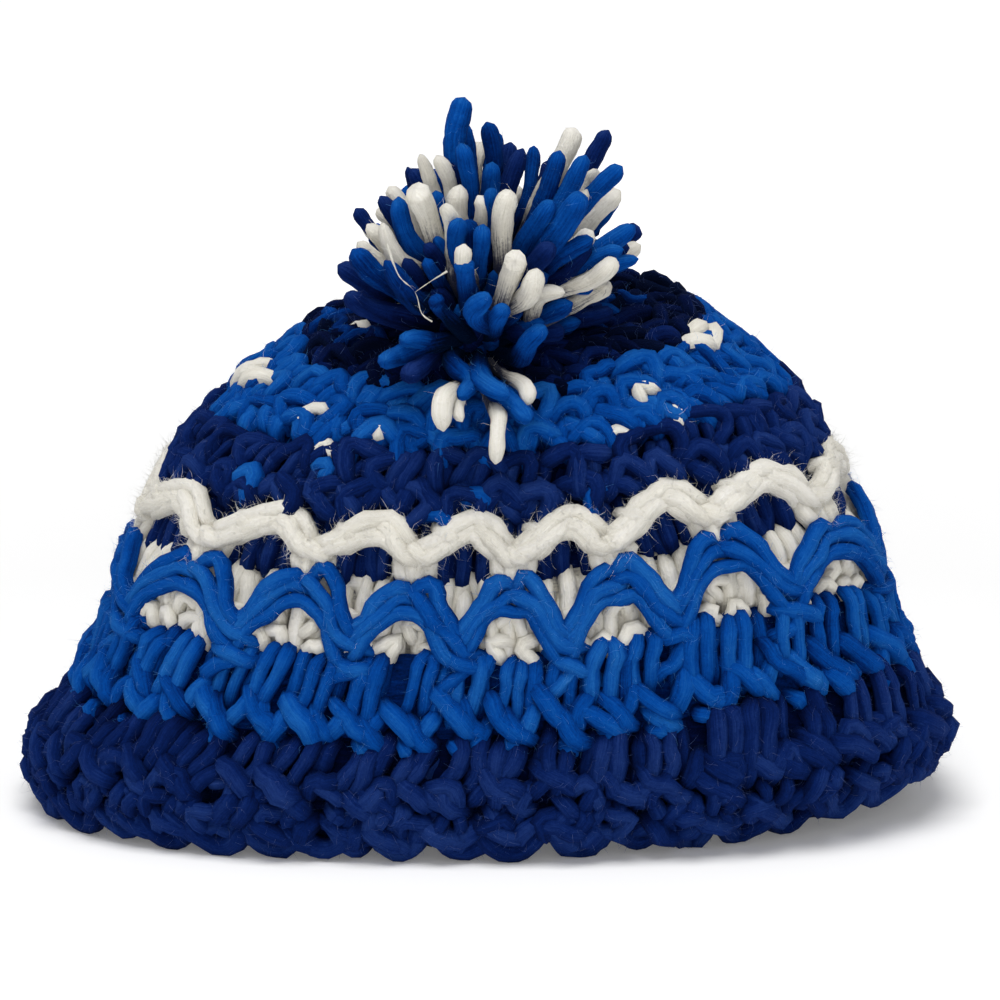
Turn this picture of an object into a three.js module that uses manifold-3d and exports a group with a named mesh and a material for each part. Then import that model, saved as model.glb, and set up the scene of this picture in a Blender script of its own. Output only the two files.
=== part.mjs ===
// A crocheted bobble hat standing on its rim: six knitted rounds of wall, two raised zigzag ropes,
// a yarn pompom and the yarn tie that holds it. Millimetres, +Z up, front of the hat towards -Y.
import * as THREE from 'three';
import Module from 'manifold-3d';
import { mergeVertices } from 'three/addons/utils/BufferGeometryUtils.js';

const wasm = await Module();
wasm.setup();
const { Manifold, Mesh: SolidMesh } = wasm;

// Driving dimensions
const WALL_THICKNESS = 8;
const FIT_GAP = 0.3;
const ROUND_BULGE = 2.2;
const ROPE_DEPTH = 4.6;
const EDGE_RAMP = 2.4;
const ROPE_FLANK = 2.2;
const ROPE_CREST = 0.9;
const FACET_SAG = 0.25;
const SECTION_POWER = 2.5;
const RIGHT_RISE_SPAN = 0.6;
const LEFT_RISE = { from: 0.3, to: 1 };
const TUCK_SIDE = { from: 0.05, to: 0.45 };
const TUCK_FRONT = { from: 0, to: 0.6 };
const WALL_COLUMNS = 50;
const CROWN_COLUMNS = 42;
const STEPS_PER_ZIGZAG = 7;

// The hat's outer form, one row per level from the rim to the gathered top. At each level: height at the
// front and at the back, reach to the front and to the back, half width, sideways shift, how far the
// level rises at the left and at the right side, where on the half width the right rise starts, and how
// far the right front is tucked in under the hat.
const LEVEL_COLUMNS = [
  'zFront', 'zBack', 'yFront', 'yBack', 'halfWidth', 'shiftX', 'riseLeft', 'riseRight', 'riseFrom', 'tuck',
];
const LEVELS = [
  /* rim edge    */ [0, 0, -56, 56, 113.5, 0, 0, 8, 0.5, 10],
  /* rim swell   */ [11, 11, -62, 62, 120.5, 0, 1, 8.5, 0.3, 0],
  /* rim round   */ [20, 20, -62, 62, 117, 0.5, 3, 9, 0.2, 0],
  /* navy top    */ [30.5, 31, -60, 60, 109.5, 1.5, 4, 10, 0.1, 0],
  /* royal top   */ [50, 51, -57, 57, 101, 2, 3, 10, 0.1, 0],
  /* ivory mid   */ [63, 65, -54.5, 55, 97.5, 2.5, 2, 10, 0.1, 0],
  /* ivory top   */ [77, 81, -52, 53, 89.5, 2, 2, 10, 0.1, 0],
  /* navy mid    */ [90, 96, -49, 49.5, 82, 2.5, 2, 9, 0.1, 0],
  /* upper royal */ [102, 112, -45, 44, 69, 3.5, 2, 8, 0.1, 0],
  /* crown royal */ [111, 124, -40.5, 34, 55, 4, 2, 7, 0.1, 0],
  /* crown navy  */ [117.5, 131, -35, 21, 44.5, 5, 2, 6, 0.1, 0],
  /* crown top   */ [121, 132, -31, 4, 28, 2.5, 2, 3, 0.1, 0],
  /* gather      */ [121.5, 124.5, -28.5, -16.5, 9, -2, 1, 1, 0.1, 0],
];

const TOP_LEVEL = LEVELS.length - 1;

// The crocheted rounds, each a bulging ring between two levels.
const ROUNDS = {
  rimLast: [0, 2.1],
  rimFirst: [2.1, 3],
  royal: [3, 4.05],
  ivoryBase: [4.05, 5.4],
  navyBase: [5.4, 6.55],
  navyArcs: [6.55, 7.65],
  royalArcs: [7.65, 9.25],
  crownOuter: [9.25, 10.5],
  crownInner: [10.5, 12],
};
const CROWN_TOP_ROUNDS = ['crownOuter', 'crownInner'];

// The zigzag ropes: levels of the low and the high turns, height and number of repeats round the hat.
const ZIGZAG_REPEATS = 16;
const PHASE_TRIES = 12;
const ZIGZAG_CROWDING = 0.35;
const ZIGZAG_LEAN = 0.62;
const ROYAL_ZIGZAG = { low: 4.27, high: 5.06, height: 10.5, phase: 0.66 };
const IVORY_ZIGZAG = { low: 5.88, high: 6.36, height: 10, phase: 0.2 };

// The pompom: where its yarn is tied, the ball its ends reach, the dense head inside it, and rings of
// locks from the top down.
const POMPOM_TIE_POINT = new THREE.Vector3(-3, -24, 129);
const POMPOM_BALL_CENTRE = new THREE.Vector3(2, -23, 150);
const POMPOM_BALL_RADII = new THREE.Vector3(42, 37, 36);
const POMPOM_CORE_CENTRE = new THREE.Vector3(1, -23, 148);
const POMPOM_CORE_RADII = new THREE.Vector3(29, 26, 24);
const LOCK_SIDES = 5;
// Places along a lock and its swelling there.
const LOCK_STATIONS = [[0, 0.75], [0.6, 1], [0.93, 0.8]];
const LOCK_ARCH = 2;
const LOCK_COLUMNS = ['elevation', 'count', 'turn', 'rootRadius', 'tipRadius', 'reach'];
const LOCK_RINGS = [
  /* top spike   */ [86, 1, 0, 6, 3, 1.03],
  /* crown ring  */ [66, 7, 20, 7, 5, 0.97],
  /* upper ring  */ [42, 10, 0, 7, 5, 0.97],
  /* lower ring  */ [18, 12, 15, 7, 5, 0.95],
];
// The loose ends that hang down over the front: sideways lean, length, sag, root and tip radius.
const HANGING_COLUMNS = ['lean', 'length', 'sag', 'rootRadius', 'tipRadius'];
const HANGING_LOCKS = [
  /* left end   */ [-0.5, 27, 11, 5, 3.6],
  /* middle end */ [0.02, 34, 20, 5, 3.6],
  /* right end  */ [0.42, 25, 9, 5, 3.6],
];
const HANGING_DIP = -0.1;

const COLOURS = { navy: '#0c2254', royal: '#043b89', ivory: '#e4e2d3' };

function named(columns, row) {
  return Object.fromEntries(columns.map((name, i) => [name, row[i]]));
}

function smoothstep(from, to, x) {
  const t = Math.min(Math.max((x - from) / (to - from), 0), 1);
  return t * t * (3 - 2 * t);
}

// A smooth curve without overshoot through one column of the level table.
function columnAt(column, level) {
  const values = LEVELS.map((row) => row[column]);
  const last = values.length - 1;
  const i = Math.min(Math.max(Math.floor(level), 0), last - 1);
  const f = level - i;
  const step = (k) => values[k + 1] - values[k];
  const slope = (k) => {
    if (k === 0) return step(0);
    if (k === last) return step(last - 1);
    const product = step(k - 1) * step(k);
    return product > 0 ? (2 * product) / (step(k - 1) + step(k)) : 0;
  };
  const rise = f * f * (3 - 2 * f);
  const out = f * (1 - f) * (1 - f);
  const back = f * f * (1 - f);
  return values[i] + rise * step(i) + out * slope(i) - back * slope(i + 1);
}

function power(x) {
  return Math.sign(x) * Math.abs(x) ** (2 / SECTION_POWER);
}

function pointAtAngle(angle, level) {
  const row = named(LEVEL_COLUMNS, LEVELS[0].map((_, c) => columnAt(c, level)));
  const ex = power(Math.cos(angle));
  const ey = power(Math.sin(angle));
  const x = row.shiftX + row.halfWidth * ex;
  const middle = (row.yFront + row.yBack) / 2;
  const tuckedIn = row.tuck * smoothstep(TUCK_SIDE.from, TUCK_SIDE.to, ex)
    * smoothstep(TUCK_FRONT.from, TUCK_FRONT.to, -ey);
  const y = middle + ((row.yBack - row.yFront) / 2) * ey + tuckedIn;
  const z = row.zFront + ((row.zBack - row.zFront) * (1 + ey)) / 2
    + row.riseRight * smoothstep(row.riseFrom, row.riseFrom + RIGHT_RISE_SPAN, ex)
    + row.riseLeft * smoothstep(LEFT_RISE.from, LEFT_RISE.to, -ex);
  return new THREE.Vector3(x, y, z);
}

// Angle for a share of the way round, measured along the ivory round from the middle of the front.
const TURN_SAMPLES = 720;
const TURN_LEVEL = 5.5;
const turnAngles = [];
const turnLengths = [];
for (let i = 0; i <= TURN_SAMPLES; i += 1) {
  const angle = -Math.PI / 2 + (2 * Math.PI * i) / TURN_SAMPLES;
  const before = turnAngles.length ? pointAtAngle(turnAngles.at(-1), TURN_LEVEL) : null;
  const stepLength = before ? before.distanceTo(pointAtAngle(angle, TURN_LEVEL)) : 0;
  turnAngles.push(angle);
  turnLengths.push((turnLengths.at(-1) ?? 0) + stepLength);
}

function angleAt(share) {
  const length = (share - Math.floor(share)) * turnLengths.at(-1);
  let i = 1;
  while (turnLengths[i] < length) i += 1;
  const f = (length - turnLengths[i - 1]) / (turnLengths[i] - turnLengths[i - 1]);
  return turnAngles[i - 1] + f * (turnAngles[i] - turnAngles[i - 1]);
}

const onHat = (share, level) => pointAtAngle(angleAt(share), level);

// The outward direction of the hat's form; level at the rim edge, so that the rim rests flat.
const LEVEL_PROBE = 0.02;
const SHARE_PROBE = 0.002;
function outward(share, level) {
  const low = Math.max(level - LEVEL_PROBE, 0);
  const high = Math.min(level + LEVEL_PROBE, TOP_LEVEL);
  const up = onHat(share, high).sub(onHat(share, low));
  const along = onHat(share + SHARE_PROBE, level).sub(onHat(share - SHARE_PROBE, level));
  const normal = along.cross(up);
  normal.z *= smoothstep(0, 1, level);
  return normal.normalize();
}

// Millimetres along the wall for one level of the table.
function levelSize(share, level) {
  const low = Math.max(level - LEVEL_PROBE, 0);
  const high = Math.min(level + LEVEL_PROBE, TOP_LEVEL);
  return onHat(share, high).distanceTo(onHat(share, low)) / (high - low);
}

const raised = (share, level, height) =>
  onHat(share, level).addScaledVector(outward(share, level), height);

// How far the knitted wall lies under the hat's form: rounds bulge, and the ropes lie in a shallow trough.
function wallHeight(round, level) {
  const [low, high] = ROUNDS[round];
  const across = (2 * (level - low)) / (high - low) - 1;
  const ramp = Math.max(Math.abs(across) - 0.5, 0) / 0.5;
  if (round === 'ivoryBase') return -ROPE_DEPTH + (across < 0 ? EDGE_RAMP * ramp : 0);
  if (round === 'navyBase') return -ROPE_DEPTH + (across > 0 ? EDGE_RAMP * ramp : 0);
  return -ROUND_BULGE * across * across;
}

// A closed ring solid from one section per column; every section is a loop of points.
function ringSolid(columns, sectionAt) {
  const positions = [];
  const index = [];
  let size = 0;
  for (let c = 0; c < columns; c += 1) {
    const section = sectionAt(c / columns);
    size = section.length;
    section.forEach((p) => positions.push(p.x, p.y, p.z));
  }
  for (let c = 0; c < columns; c += 1) {
    const next = (c + 1) % columns;
    for (let k = 0; k < size; k += 1) {
      const l = (k + 1) % size;
      const [here, there] = [c * size, next * size];
      // The lower edge is split along the same diagonal as the upper edge of the band below.
      if (l === 0) index.push(here + k, there + k, here + l, there + k, there + l, here + l);
      else index.push(here + k, there + k, there + l, here + k, there + l, here + l);
    }
  }
  const geometry = new THREE.BufferGeometry();
  geometry.setAttribute('position', new THREE.Float32BufferAttribute(positions, 3));
  geometry.setIndex(index);
  return geometry;
}

// One band of wall over the named rounds, with half the fit gap left at its lower and its upper edge.
function bandGeometry(rounds, columns, stepsPerRound, innerSteps, extra = 0) {
  const first = ROUNDS[rounds[0]][0];
  const last = ROUNDS[rounds.at(-1)][1];
  return ringSolid(columns, (share) => {
    const section = [];
    const trim = (level, way) => {
      return level + (way * FIT_GAP) / 2 / levelSize(share, level);
    };
    const bottom = first === 0 ? 0 : trim(first, 1);
    const top = last === TOP_LEVEL ? last : trim(last, -1);
    rounds.forEach((round, r) => {
      const [low, high] = ROUNDS[round];
      for (let k = r === 0 ? 0 : 1; k <= stepsPerRound; k += 1) {
        const level = Math.min(Math.max(low + ((high - low) * k) / stepsPerRound, bottom), top);
        section.push(raised(share, level, wallHeight(round, level) + extra));
      }
    });
    for (let k = innerSteps; k >= 0; k -= 1) {
      const level = bottom + ((top - bottom) * k) / innerSteps;
      section.push(raised(share, level, -WALL_THICKNESS - ROUND_BULGE));
    }
    return section;
  });
}

// Repeats are closer together at the front and the back than at the sides.
function zigzagPhase(share, phase) {
  return ZIGZAG_REPEATS * share + ZIGZAG_CROWDING * Math.sin(4 * Math.PI * share) + phase;
}

function shareAtPhase(wanted, phase) {
  let share = (wanted - phase) / ZIGZAG_REPEATS;
  for (let i = 0; i < PHASE_TRIES; i += 1) share -= (zigzagPhase(share, phase) - wanted) / ZIGZAG_REPEATS;
  return share;
}

// Height of the rope within one repeat: a long rise to the high turn, then a short fall.
function zigzagRise(turn) {
  const f = turn - Math.floor(turn);
  const half = f < ZIGZAG_LEAN ? f / ZIGZAG_LEAN : (1 - f) / (1 - ZIGZAG_LEAN);
  return 0.5 - 0.5 * Math.cos(Math.PI * half);
}

function wallUnder(level) {
  const round = Object.keys(ROUNDS).find((name) => level <= ROUNDS[name][1]);
  return wallHeight(round, level);
}

function zigzagGeometry({ low, high, height, phase }) {
  const columns = ZIGZAG_REPEATS * STEPS_PER_ZIGZAG;
  const seat = FIT_GAP + FACET_SAG;
  return ringSolid(columns, (column) => {
    const turn = column * ZIGZAG_REPEATS;
    const share = shareAtPhase(turn, phase);
    const middle = low + (high - low) * zigzagRise(turn - (1 - ZIGZAG_LEAN));
    const half = height / 2 / levelSize(share, middle);
    const levelFor = (side) => middle + side * half;
    const foot = (side) => raised(share, levelFor(side), wallUnder(levelFor(side)) + seat);
    const flank = (side) => raised(share, levelFor(side), wallUnder(levelFor(side)) + ROPE_FLANK);
    const crest = (side) => raised(share, levelFor(side), ROPE_CREST);
    return [foot(-0.85), flank(-1), crest(-0.5), crest(0.5), flank(1), foot(0.85)];
  });
}

function toSolid(geometry) {
  const bare = geometry.clone();
  bare.deleteAttribute('normal');
  bare.deleteAttribute('uv');
  const merged = mergeVertices(bare, 1e-4);
  return new Manifold(new SolidMesh({
    numProp: 3,
    vertProperties: new Float32Array(merged.attributes.position.array),
    triVerts: new Uint32Array(merged.index.array),
  }));
}

function fromSolid(solid) {
  const mesh = solid.getMesh();
  const geometry = new THREE.BufferGeometry();
  geometry.setAttribute('position', new THREE.Float32BufferAttribute(mesh.vertProperties, 3));
  geometry.setIndex([...mesh.triVerts]);
  return geometry;
}

// A lock of yarn ends: a tapered tube with a blunt tip along a curve.
function lockSolid(curve, rootRadius, tipRadius) {
  const frames = LOCK_STATIONS.map(([t, swell]) => {
    const centre = curve.getPoint(t);
    const along = curve.getTangent(t);
    const aside = new THREE.Vector3(0, 1, 0.02).cross(along).normalize();
    const across = along.clone().cross(aside);
    const radius = swell * (rootRadius + (tipRadius - rootRadius) * t);
    return { centre, aside, across, radius };
  });
  const positions = [];
  frames.forEach(({ centre, aside, across, radius }) => {
    for (let s = 0; s < LOCK_SIDES; s += 1) {
      const a = (2 * Math.PI * s) / LOCK_SIDES;
      const p = centre.clone().addScaledVector(aside, radius * Math.cos(a));
      p.addScaledVector(across, radius * Math.sin(a));
      positions.push(p.x, p.y, p.z);
    }
  });
  const root = curve.getPoint(0);
  const tip = curve.getPoint(1);
  positions.push(root.x, root.y, root.z, tip.x, tip.y, tip.z);
  const rootIndex = frames.length * LOCK_SIDES;
  const index = [];
  for (let s = 0; s < LOCK_SIDES; s += 1) {
    const n = (s + 1) % LOCK_SIDES;
    for (let f = 0; f + 1 < frames.length; f += 1) {
      const low = f * LOCK_SIDES;
      const high = low + LOCK_SIDES;
      index.push(low + s, low + n, high + n, low + s, high + n, high + s);
    }
    const lastRing = (frames.length - 1) * LOCK_SIDES;
    index.push(rootIndex, n, s, rootIndex + 1, lastRing + s, lastRing + n);
  }
  const geometry = new THREE.BufferGeometry();
  geometry.setAttribute('position', new THREE.Float32BufferAttribute(positions, 3));
  geometry.setIndex(index);
  return toSolid(geometry);
}

// Distance from the tie point to the ball that the yarn ends reach, in one direction.
function reachIn(direction) {
  const scale = new THREE.Vector3(1, 1, 1).divide(POMPOM_BALL_RADII);
  const from = POMPOM_TIE_POINT.clone().sub(POMPOM_BALL_CENTRE).multiply(scale);
  const way = direction.clone().multiply(scale);
  const a = way.dot(way);
  const b = from.dot(way);
  const c = from.dot(from) - 1;
  return (-b + Math.sqrt(b * b - a * c)) / a;
}

function ringLocks() {
  return LOCK_RINGS.map((row) => named(LOCK_COLUMNS, row)).flatMap((ring) => {
    const elevation = THREE.MathUtils.degToRad(ring.elevation);
    return Array.from({ length: ring.count }, (_, i) => {
      const turn = THREE.MathUtils.degToRad(ring.turn + (360 * i) / ring.count);
      const direction = new THREE.Vector3(
        Math.cos(elevation) * Math.cos(turn),
        Math.cos(elevation) * Math.sin(turn),
        Math.sin(elevation),
      );
      const tip = POMPOM_TIE_POINT.clone().addScaledVector(direction, reachIn(direction) * ring.reach);
      const middle = POMPOM_TIE_POINT.clone().lerp(tip, 0.5).add(new THREE.Vector3(0, 0, LOCK_ARCH));
      const curve = new THREE.QuadraticBezierCurve3(POMPOM_TIE_POINT, middle, tip);
      return lockSolid(curve, ring.rootRadius, ring.tipRadius);
    });
  });
}

function hangingLocks() {
  return HANGING_LOCKS.map((row) => named(HANGING_COLUMNS, row)).map((end) => {
    const forward = new THREE.Vector3(end.lean, -1, HANGING_DIP).normalize();
    const middle = POMPOM_TIE_POINT.clone().addScaledVector(forward, end.length * 0.75);
    const tip = POMPOM_TIE_POINT.clone().addScaledVector(forward, end.length);
    tip.z -= end.sag;
    const curve = new THREE.QuadraticBezierCurve3(POMPOM_TIE_POINT, middle, tip);
    return lockSolid(curve, end.rootRadius, end.tipRadius);
  });
}

// Clear space kept over the crown and its gathered hole, so that no lock cuts into the wall it lies on.
function crownClearance() {
  const clearance = FIT_GAP + FACET_SAG;
  const holeMiddle = onHat(0, TOP_LEVEL).lerp(onHat(0.5, TOP_LEVEL), 0.5);
  const lowest = Math.floor(ROUNDS.navyArcs[0]);
  const overTop = toSolid(bandGeometry(CROWN_TOP_ROUNDS, CROWN_COLUMNS, 4, 4, clearance));
  return overTop.add(toSolid(ringSolid(CROWN_COLUMNS * 2, (share) => {
    const section = [];
    for (let level = lowest; level <= TOP_LEVEL; level += 0.5) {
      section.push(raised(share, level, clearance));
    }
    const overHole = section.at(-1).clone().lerp(holeMiddle.clone().setZ(section.at(-1).z), 0.97);
    section.push(overHole, overHole.clone().setZ(overHole.z - WALL_THICKNESS));
    for (let level = TOP_LEVEL; level >= lowest; level -= 1) {
      section.push(raised(share, level, -WALL_THICKNESS));
    }
    return section;
  })));
}

// The yarn tie, as radius and height: a post through the gathered top, with a knot under it and a head
// inside the pompom.
const TIE_PROFILE = [
  [0, -29], [6, -27], [7.5, -23], [5.5, -19.6], [4, -18.8], [4, 0], [3.2, 2], [0, 2.4],
];
const TIE_OFFSET = new THREE.Vector3(0.5, 2.5, 0);
const TIE_MIDDLE = -10;
const TIE_SIDES = 16;
function tieGeometry(grow) {
  const outline = TIE_PROFILE.map(([r, z]) => {
    const radius = r > 0 ? r + grow : 0;
    return new THREE.Vector2(radius, z + Math.sign(z - TIE_MIDDLE) * grow);
  });
  const turned = new THREE.LatheGeometry(outline, TIE_SIDES);
  turned.rotateX(Math.PI / 2);
  turned.translate(...POMPOM_TIE_POINT.clone().add(TIE_OFFSET));
  return turned;
}

function pompomGeometry() {
  const core = new THREE.SphereGeometry(1, 14, 10);
  core.rotateX(Math.PI / 2);
  core.scale(...POMPOM_CORE_RADII);
  core.translate(...POMPOM_CORE_CENTRE);
  let solid = toSolid(core);
  [...ringLocks(), ...hangingLocks()].forEach((lock) => {
    solid = solid.add(lock);
  });
  solid = solid.subtract(crownClearance()).subtract(toSolid(tieGeometry(FIT_GAP)));
  const largest = solid.decompose().sort((a, b) => b.volume() - a.volume())[0];
  return fromSolid(largest);
}

const YARN_ROUGHNESS = 0.9;
const yarn = (colour) =>
  new THREE.MeshStandardMaterial({ color: colour, roughness: YARN_ROUGHNESS, metalness: 0 });

const hat = new THREE.Group();
function addPiece(name, geometry, colour) {
  geometry.computeVertexNormals();
  const piece = new THREE.Mesh(geometry, yarn(colour));
  piece.name = name;
  hat.add(piece);
}

addPiece('rim_band', bandGeometry(['rimLast', 'rimFirst'], WALL_COLUMNS, 4, 4), COLOURS.navy);
addPiece('royal_band', bandGeometry(['royal'], WALL_COLUMNS, 4, 2), COLOURS.royal);
addPiece('ivory_band', bandGeometry(['ivoryBase'], WALL_COLUMNS, 4, 2), COLOURS.ivory);
addPiece('navy_band', bandGeometry(['navyBase', 'navyArcs'], WALL_COLUMNS, 4, 3), COLOURS.navy);
addPiece('crown_band', bandGeometry(['royalArcs'], WALL_COLUMNS, 4, 2), COLOURS.royal);
addPiece('crown_top', bandGeometry(CROWN_TOP_ROUNDS, CROWN_COLUMNS, 4, 4), COLOURS.navy);
addPiece('royal_zigzag', zigzagGeometry(ROYAL_ZIGZAG), COLOURS.royal);
addPiece('ivory_zigzag', zigzagGeometry(IVORY_ZIGZAG), COLOURS.ivory);
addPiece('pompom', pompomGeometry(), COLOURS.royal);
addPiece('pompom_tie', tieGeometry(0), COLOURS.navy);

export default hat;
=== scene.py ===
"""A crocheted beanie with a yarn pompom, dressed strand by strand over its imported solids.

Every round of stitches, the raised zigzag chains and the pompom are strands of thick roving yarn that
follow the hat's form. Sizes are millimetres in the hat's own frame until a mesh is made, then metres.
"""

import logging
import math
from dataclasses import dataclass, field
from enum import Enum
from typing import Any

import bpy
import numpy as np
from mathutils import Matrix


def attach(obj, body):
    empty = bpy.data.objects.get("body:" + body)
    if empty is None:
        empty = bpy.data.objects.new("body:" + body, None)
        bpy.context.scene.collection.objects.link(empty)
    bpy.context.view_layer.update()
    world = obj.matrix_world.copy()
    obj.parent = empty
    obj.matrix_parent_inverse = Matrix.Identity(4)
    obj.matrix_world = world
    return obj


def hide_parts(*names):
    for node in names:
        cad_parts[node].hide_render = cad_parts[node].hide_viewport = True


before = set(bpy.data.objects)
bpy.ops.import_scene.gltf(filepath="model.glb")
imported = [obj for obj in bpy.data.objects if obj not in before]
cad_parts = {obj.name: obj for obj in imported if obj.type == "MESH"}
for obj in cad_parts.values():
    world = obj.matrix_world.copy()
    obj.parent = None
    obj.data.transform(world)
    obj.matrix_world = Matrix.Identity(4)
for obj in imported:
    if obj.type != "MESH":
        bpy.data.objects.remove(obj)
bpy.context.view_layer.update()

MM = 0.001
BODY = "root"
log = logging.getLogger("beanie")


class Yarn(Enum):
    """The three yarns of the hat; the value is the strand's tint number."""

    NAVY = 0
    ROYAL = 1
    IVORY = 2


def linear(hex_code: str) -> tuple[float, float, float, float]:
    """Turns an sRGB hex colour into linear RGBA.

    Args:
        hex_code: six hex digits after a hash.

    Returns:
        Linear red, green, blue and an alpha of one.
    """
    parts = [int(hex_code[i:i + 2], 16) / 255 for i in (1, 3, 5)]
    red, green, blue = (c / 12.92 if c <= 0.04045 else ((c + 0.055) / 1.055) ** 2.4 for c in parts)
    return red, green, blue, 1.0


def add_node(tree: bpy.types.NodeTree, kind: str, settings: dict | None = None,
             links: dict | None = None) -> bpy.types.Node:
    """Adds one node to a shader or geometry tree.

    Args:
        tree: the tree that gets the node.
        kind: the node's type name.
        settings: node properties and input values, by property name, input name or input number.
        links: sockets that feed inputs, by input name or number.

    Returns:
        The new node.
    """
    made = tree.nodes.new(kind)
    for key, value in (settings or {}).items():
        if isinstance(key, str) and hasattr(made, key):
            setattr(made, key, value)
        else:
            made.inputs[key].default_value = value
    for key, source in (links or {}).items():
        tree.links.new(source, made.inputs[key])
    return made


def smoothstep(low: float, high: float, x: np.ndarray) -> np.ndarray:
    """Rises smoothly from 0 at low to 1 at high."""
    t = np.clip((x - low) / (high - low), 0, 1)
    return t * t * (3 - 2 * t)


@dataclass(frozen=True)
class Level:
    """One level of the hat's outer form, in millimetres; rise_from is a share of the half width."""

    z_front: float
    z_back: float
    y_front: float
    y_back: float
    half_width: float
    shift_x: float
    rise_left: float
    rise_right: float
    rise_from: float = 0.1
    tuck: float = 0.0


HAT_LEVELS = (
    Level(0, 0, -56, 56, 113.5, 0, 0, 8, 0.5, 10),
    Level(11, 11, -62, 62, 120.5, 0, 1, 8.5, 0.3),
    Level(20, 20, -62, 62, 117, 0.5, 3, 9, 0.2),
    Level(30.5, 31, -60, 60, 109.5, 1.5, 4, 10),
    Level(50, 51, -57, 57, 101, 2, 3, 10),
    Level(63, 65, -54.5, 55, 97.5, 2.5, 2, 10),
    Level(77, 81, -52, 53, 89.5, 2, 2, 10),
    Level(90, 96, -49, 49.5, 82, 2.5, 2, 9),
    Level(102, 112, -45, 44, 69, 3.5, 2, 8),
    Level(111, 124, -40.5, 34, 55, 4, 2, 7),
    Level(117.5, 131, -35, 21, 44.5, 5, 2, 6),
    Level(121, 132, -31, 4, 28, 2.5, 2, 3),
    Level(121.5, 124.5, -28.5, -16.5, 9, -2, 1, 1),
)


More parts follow.
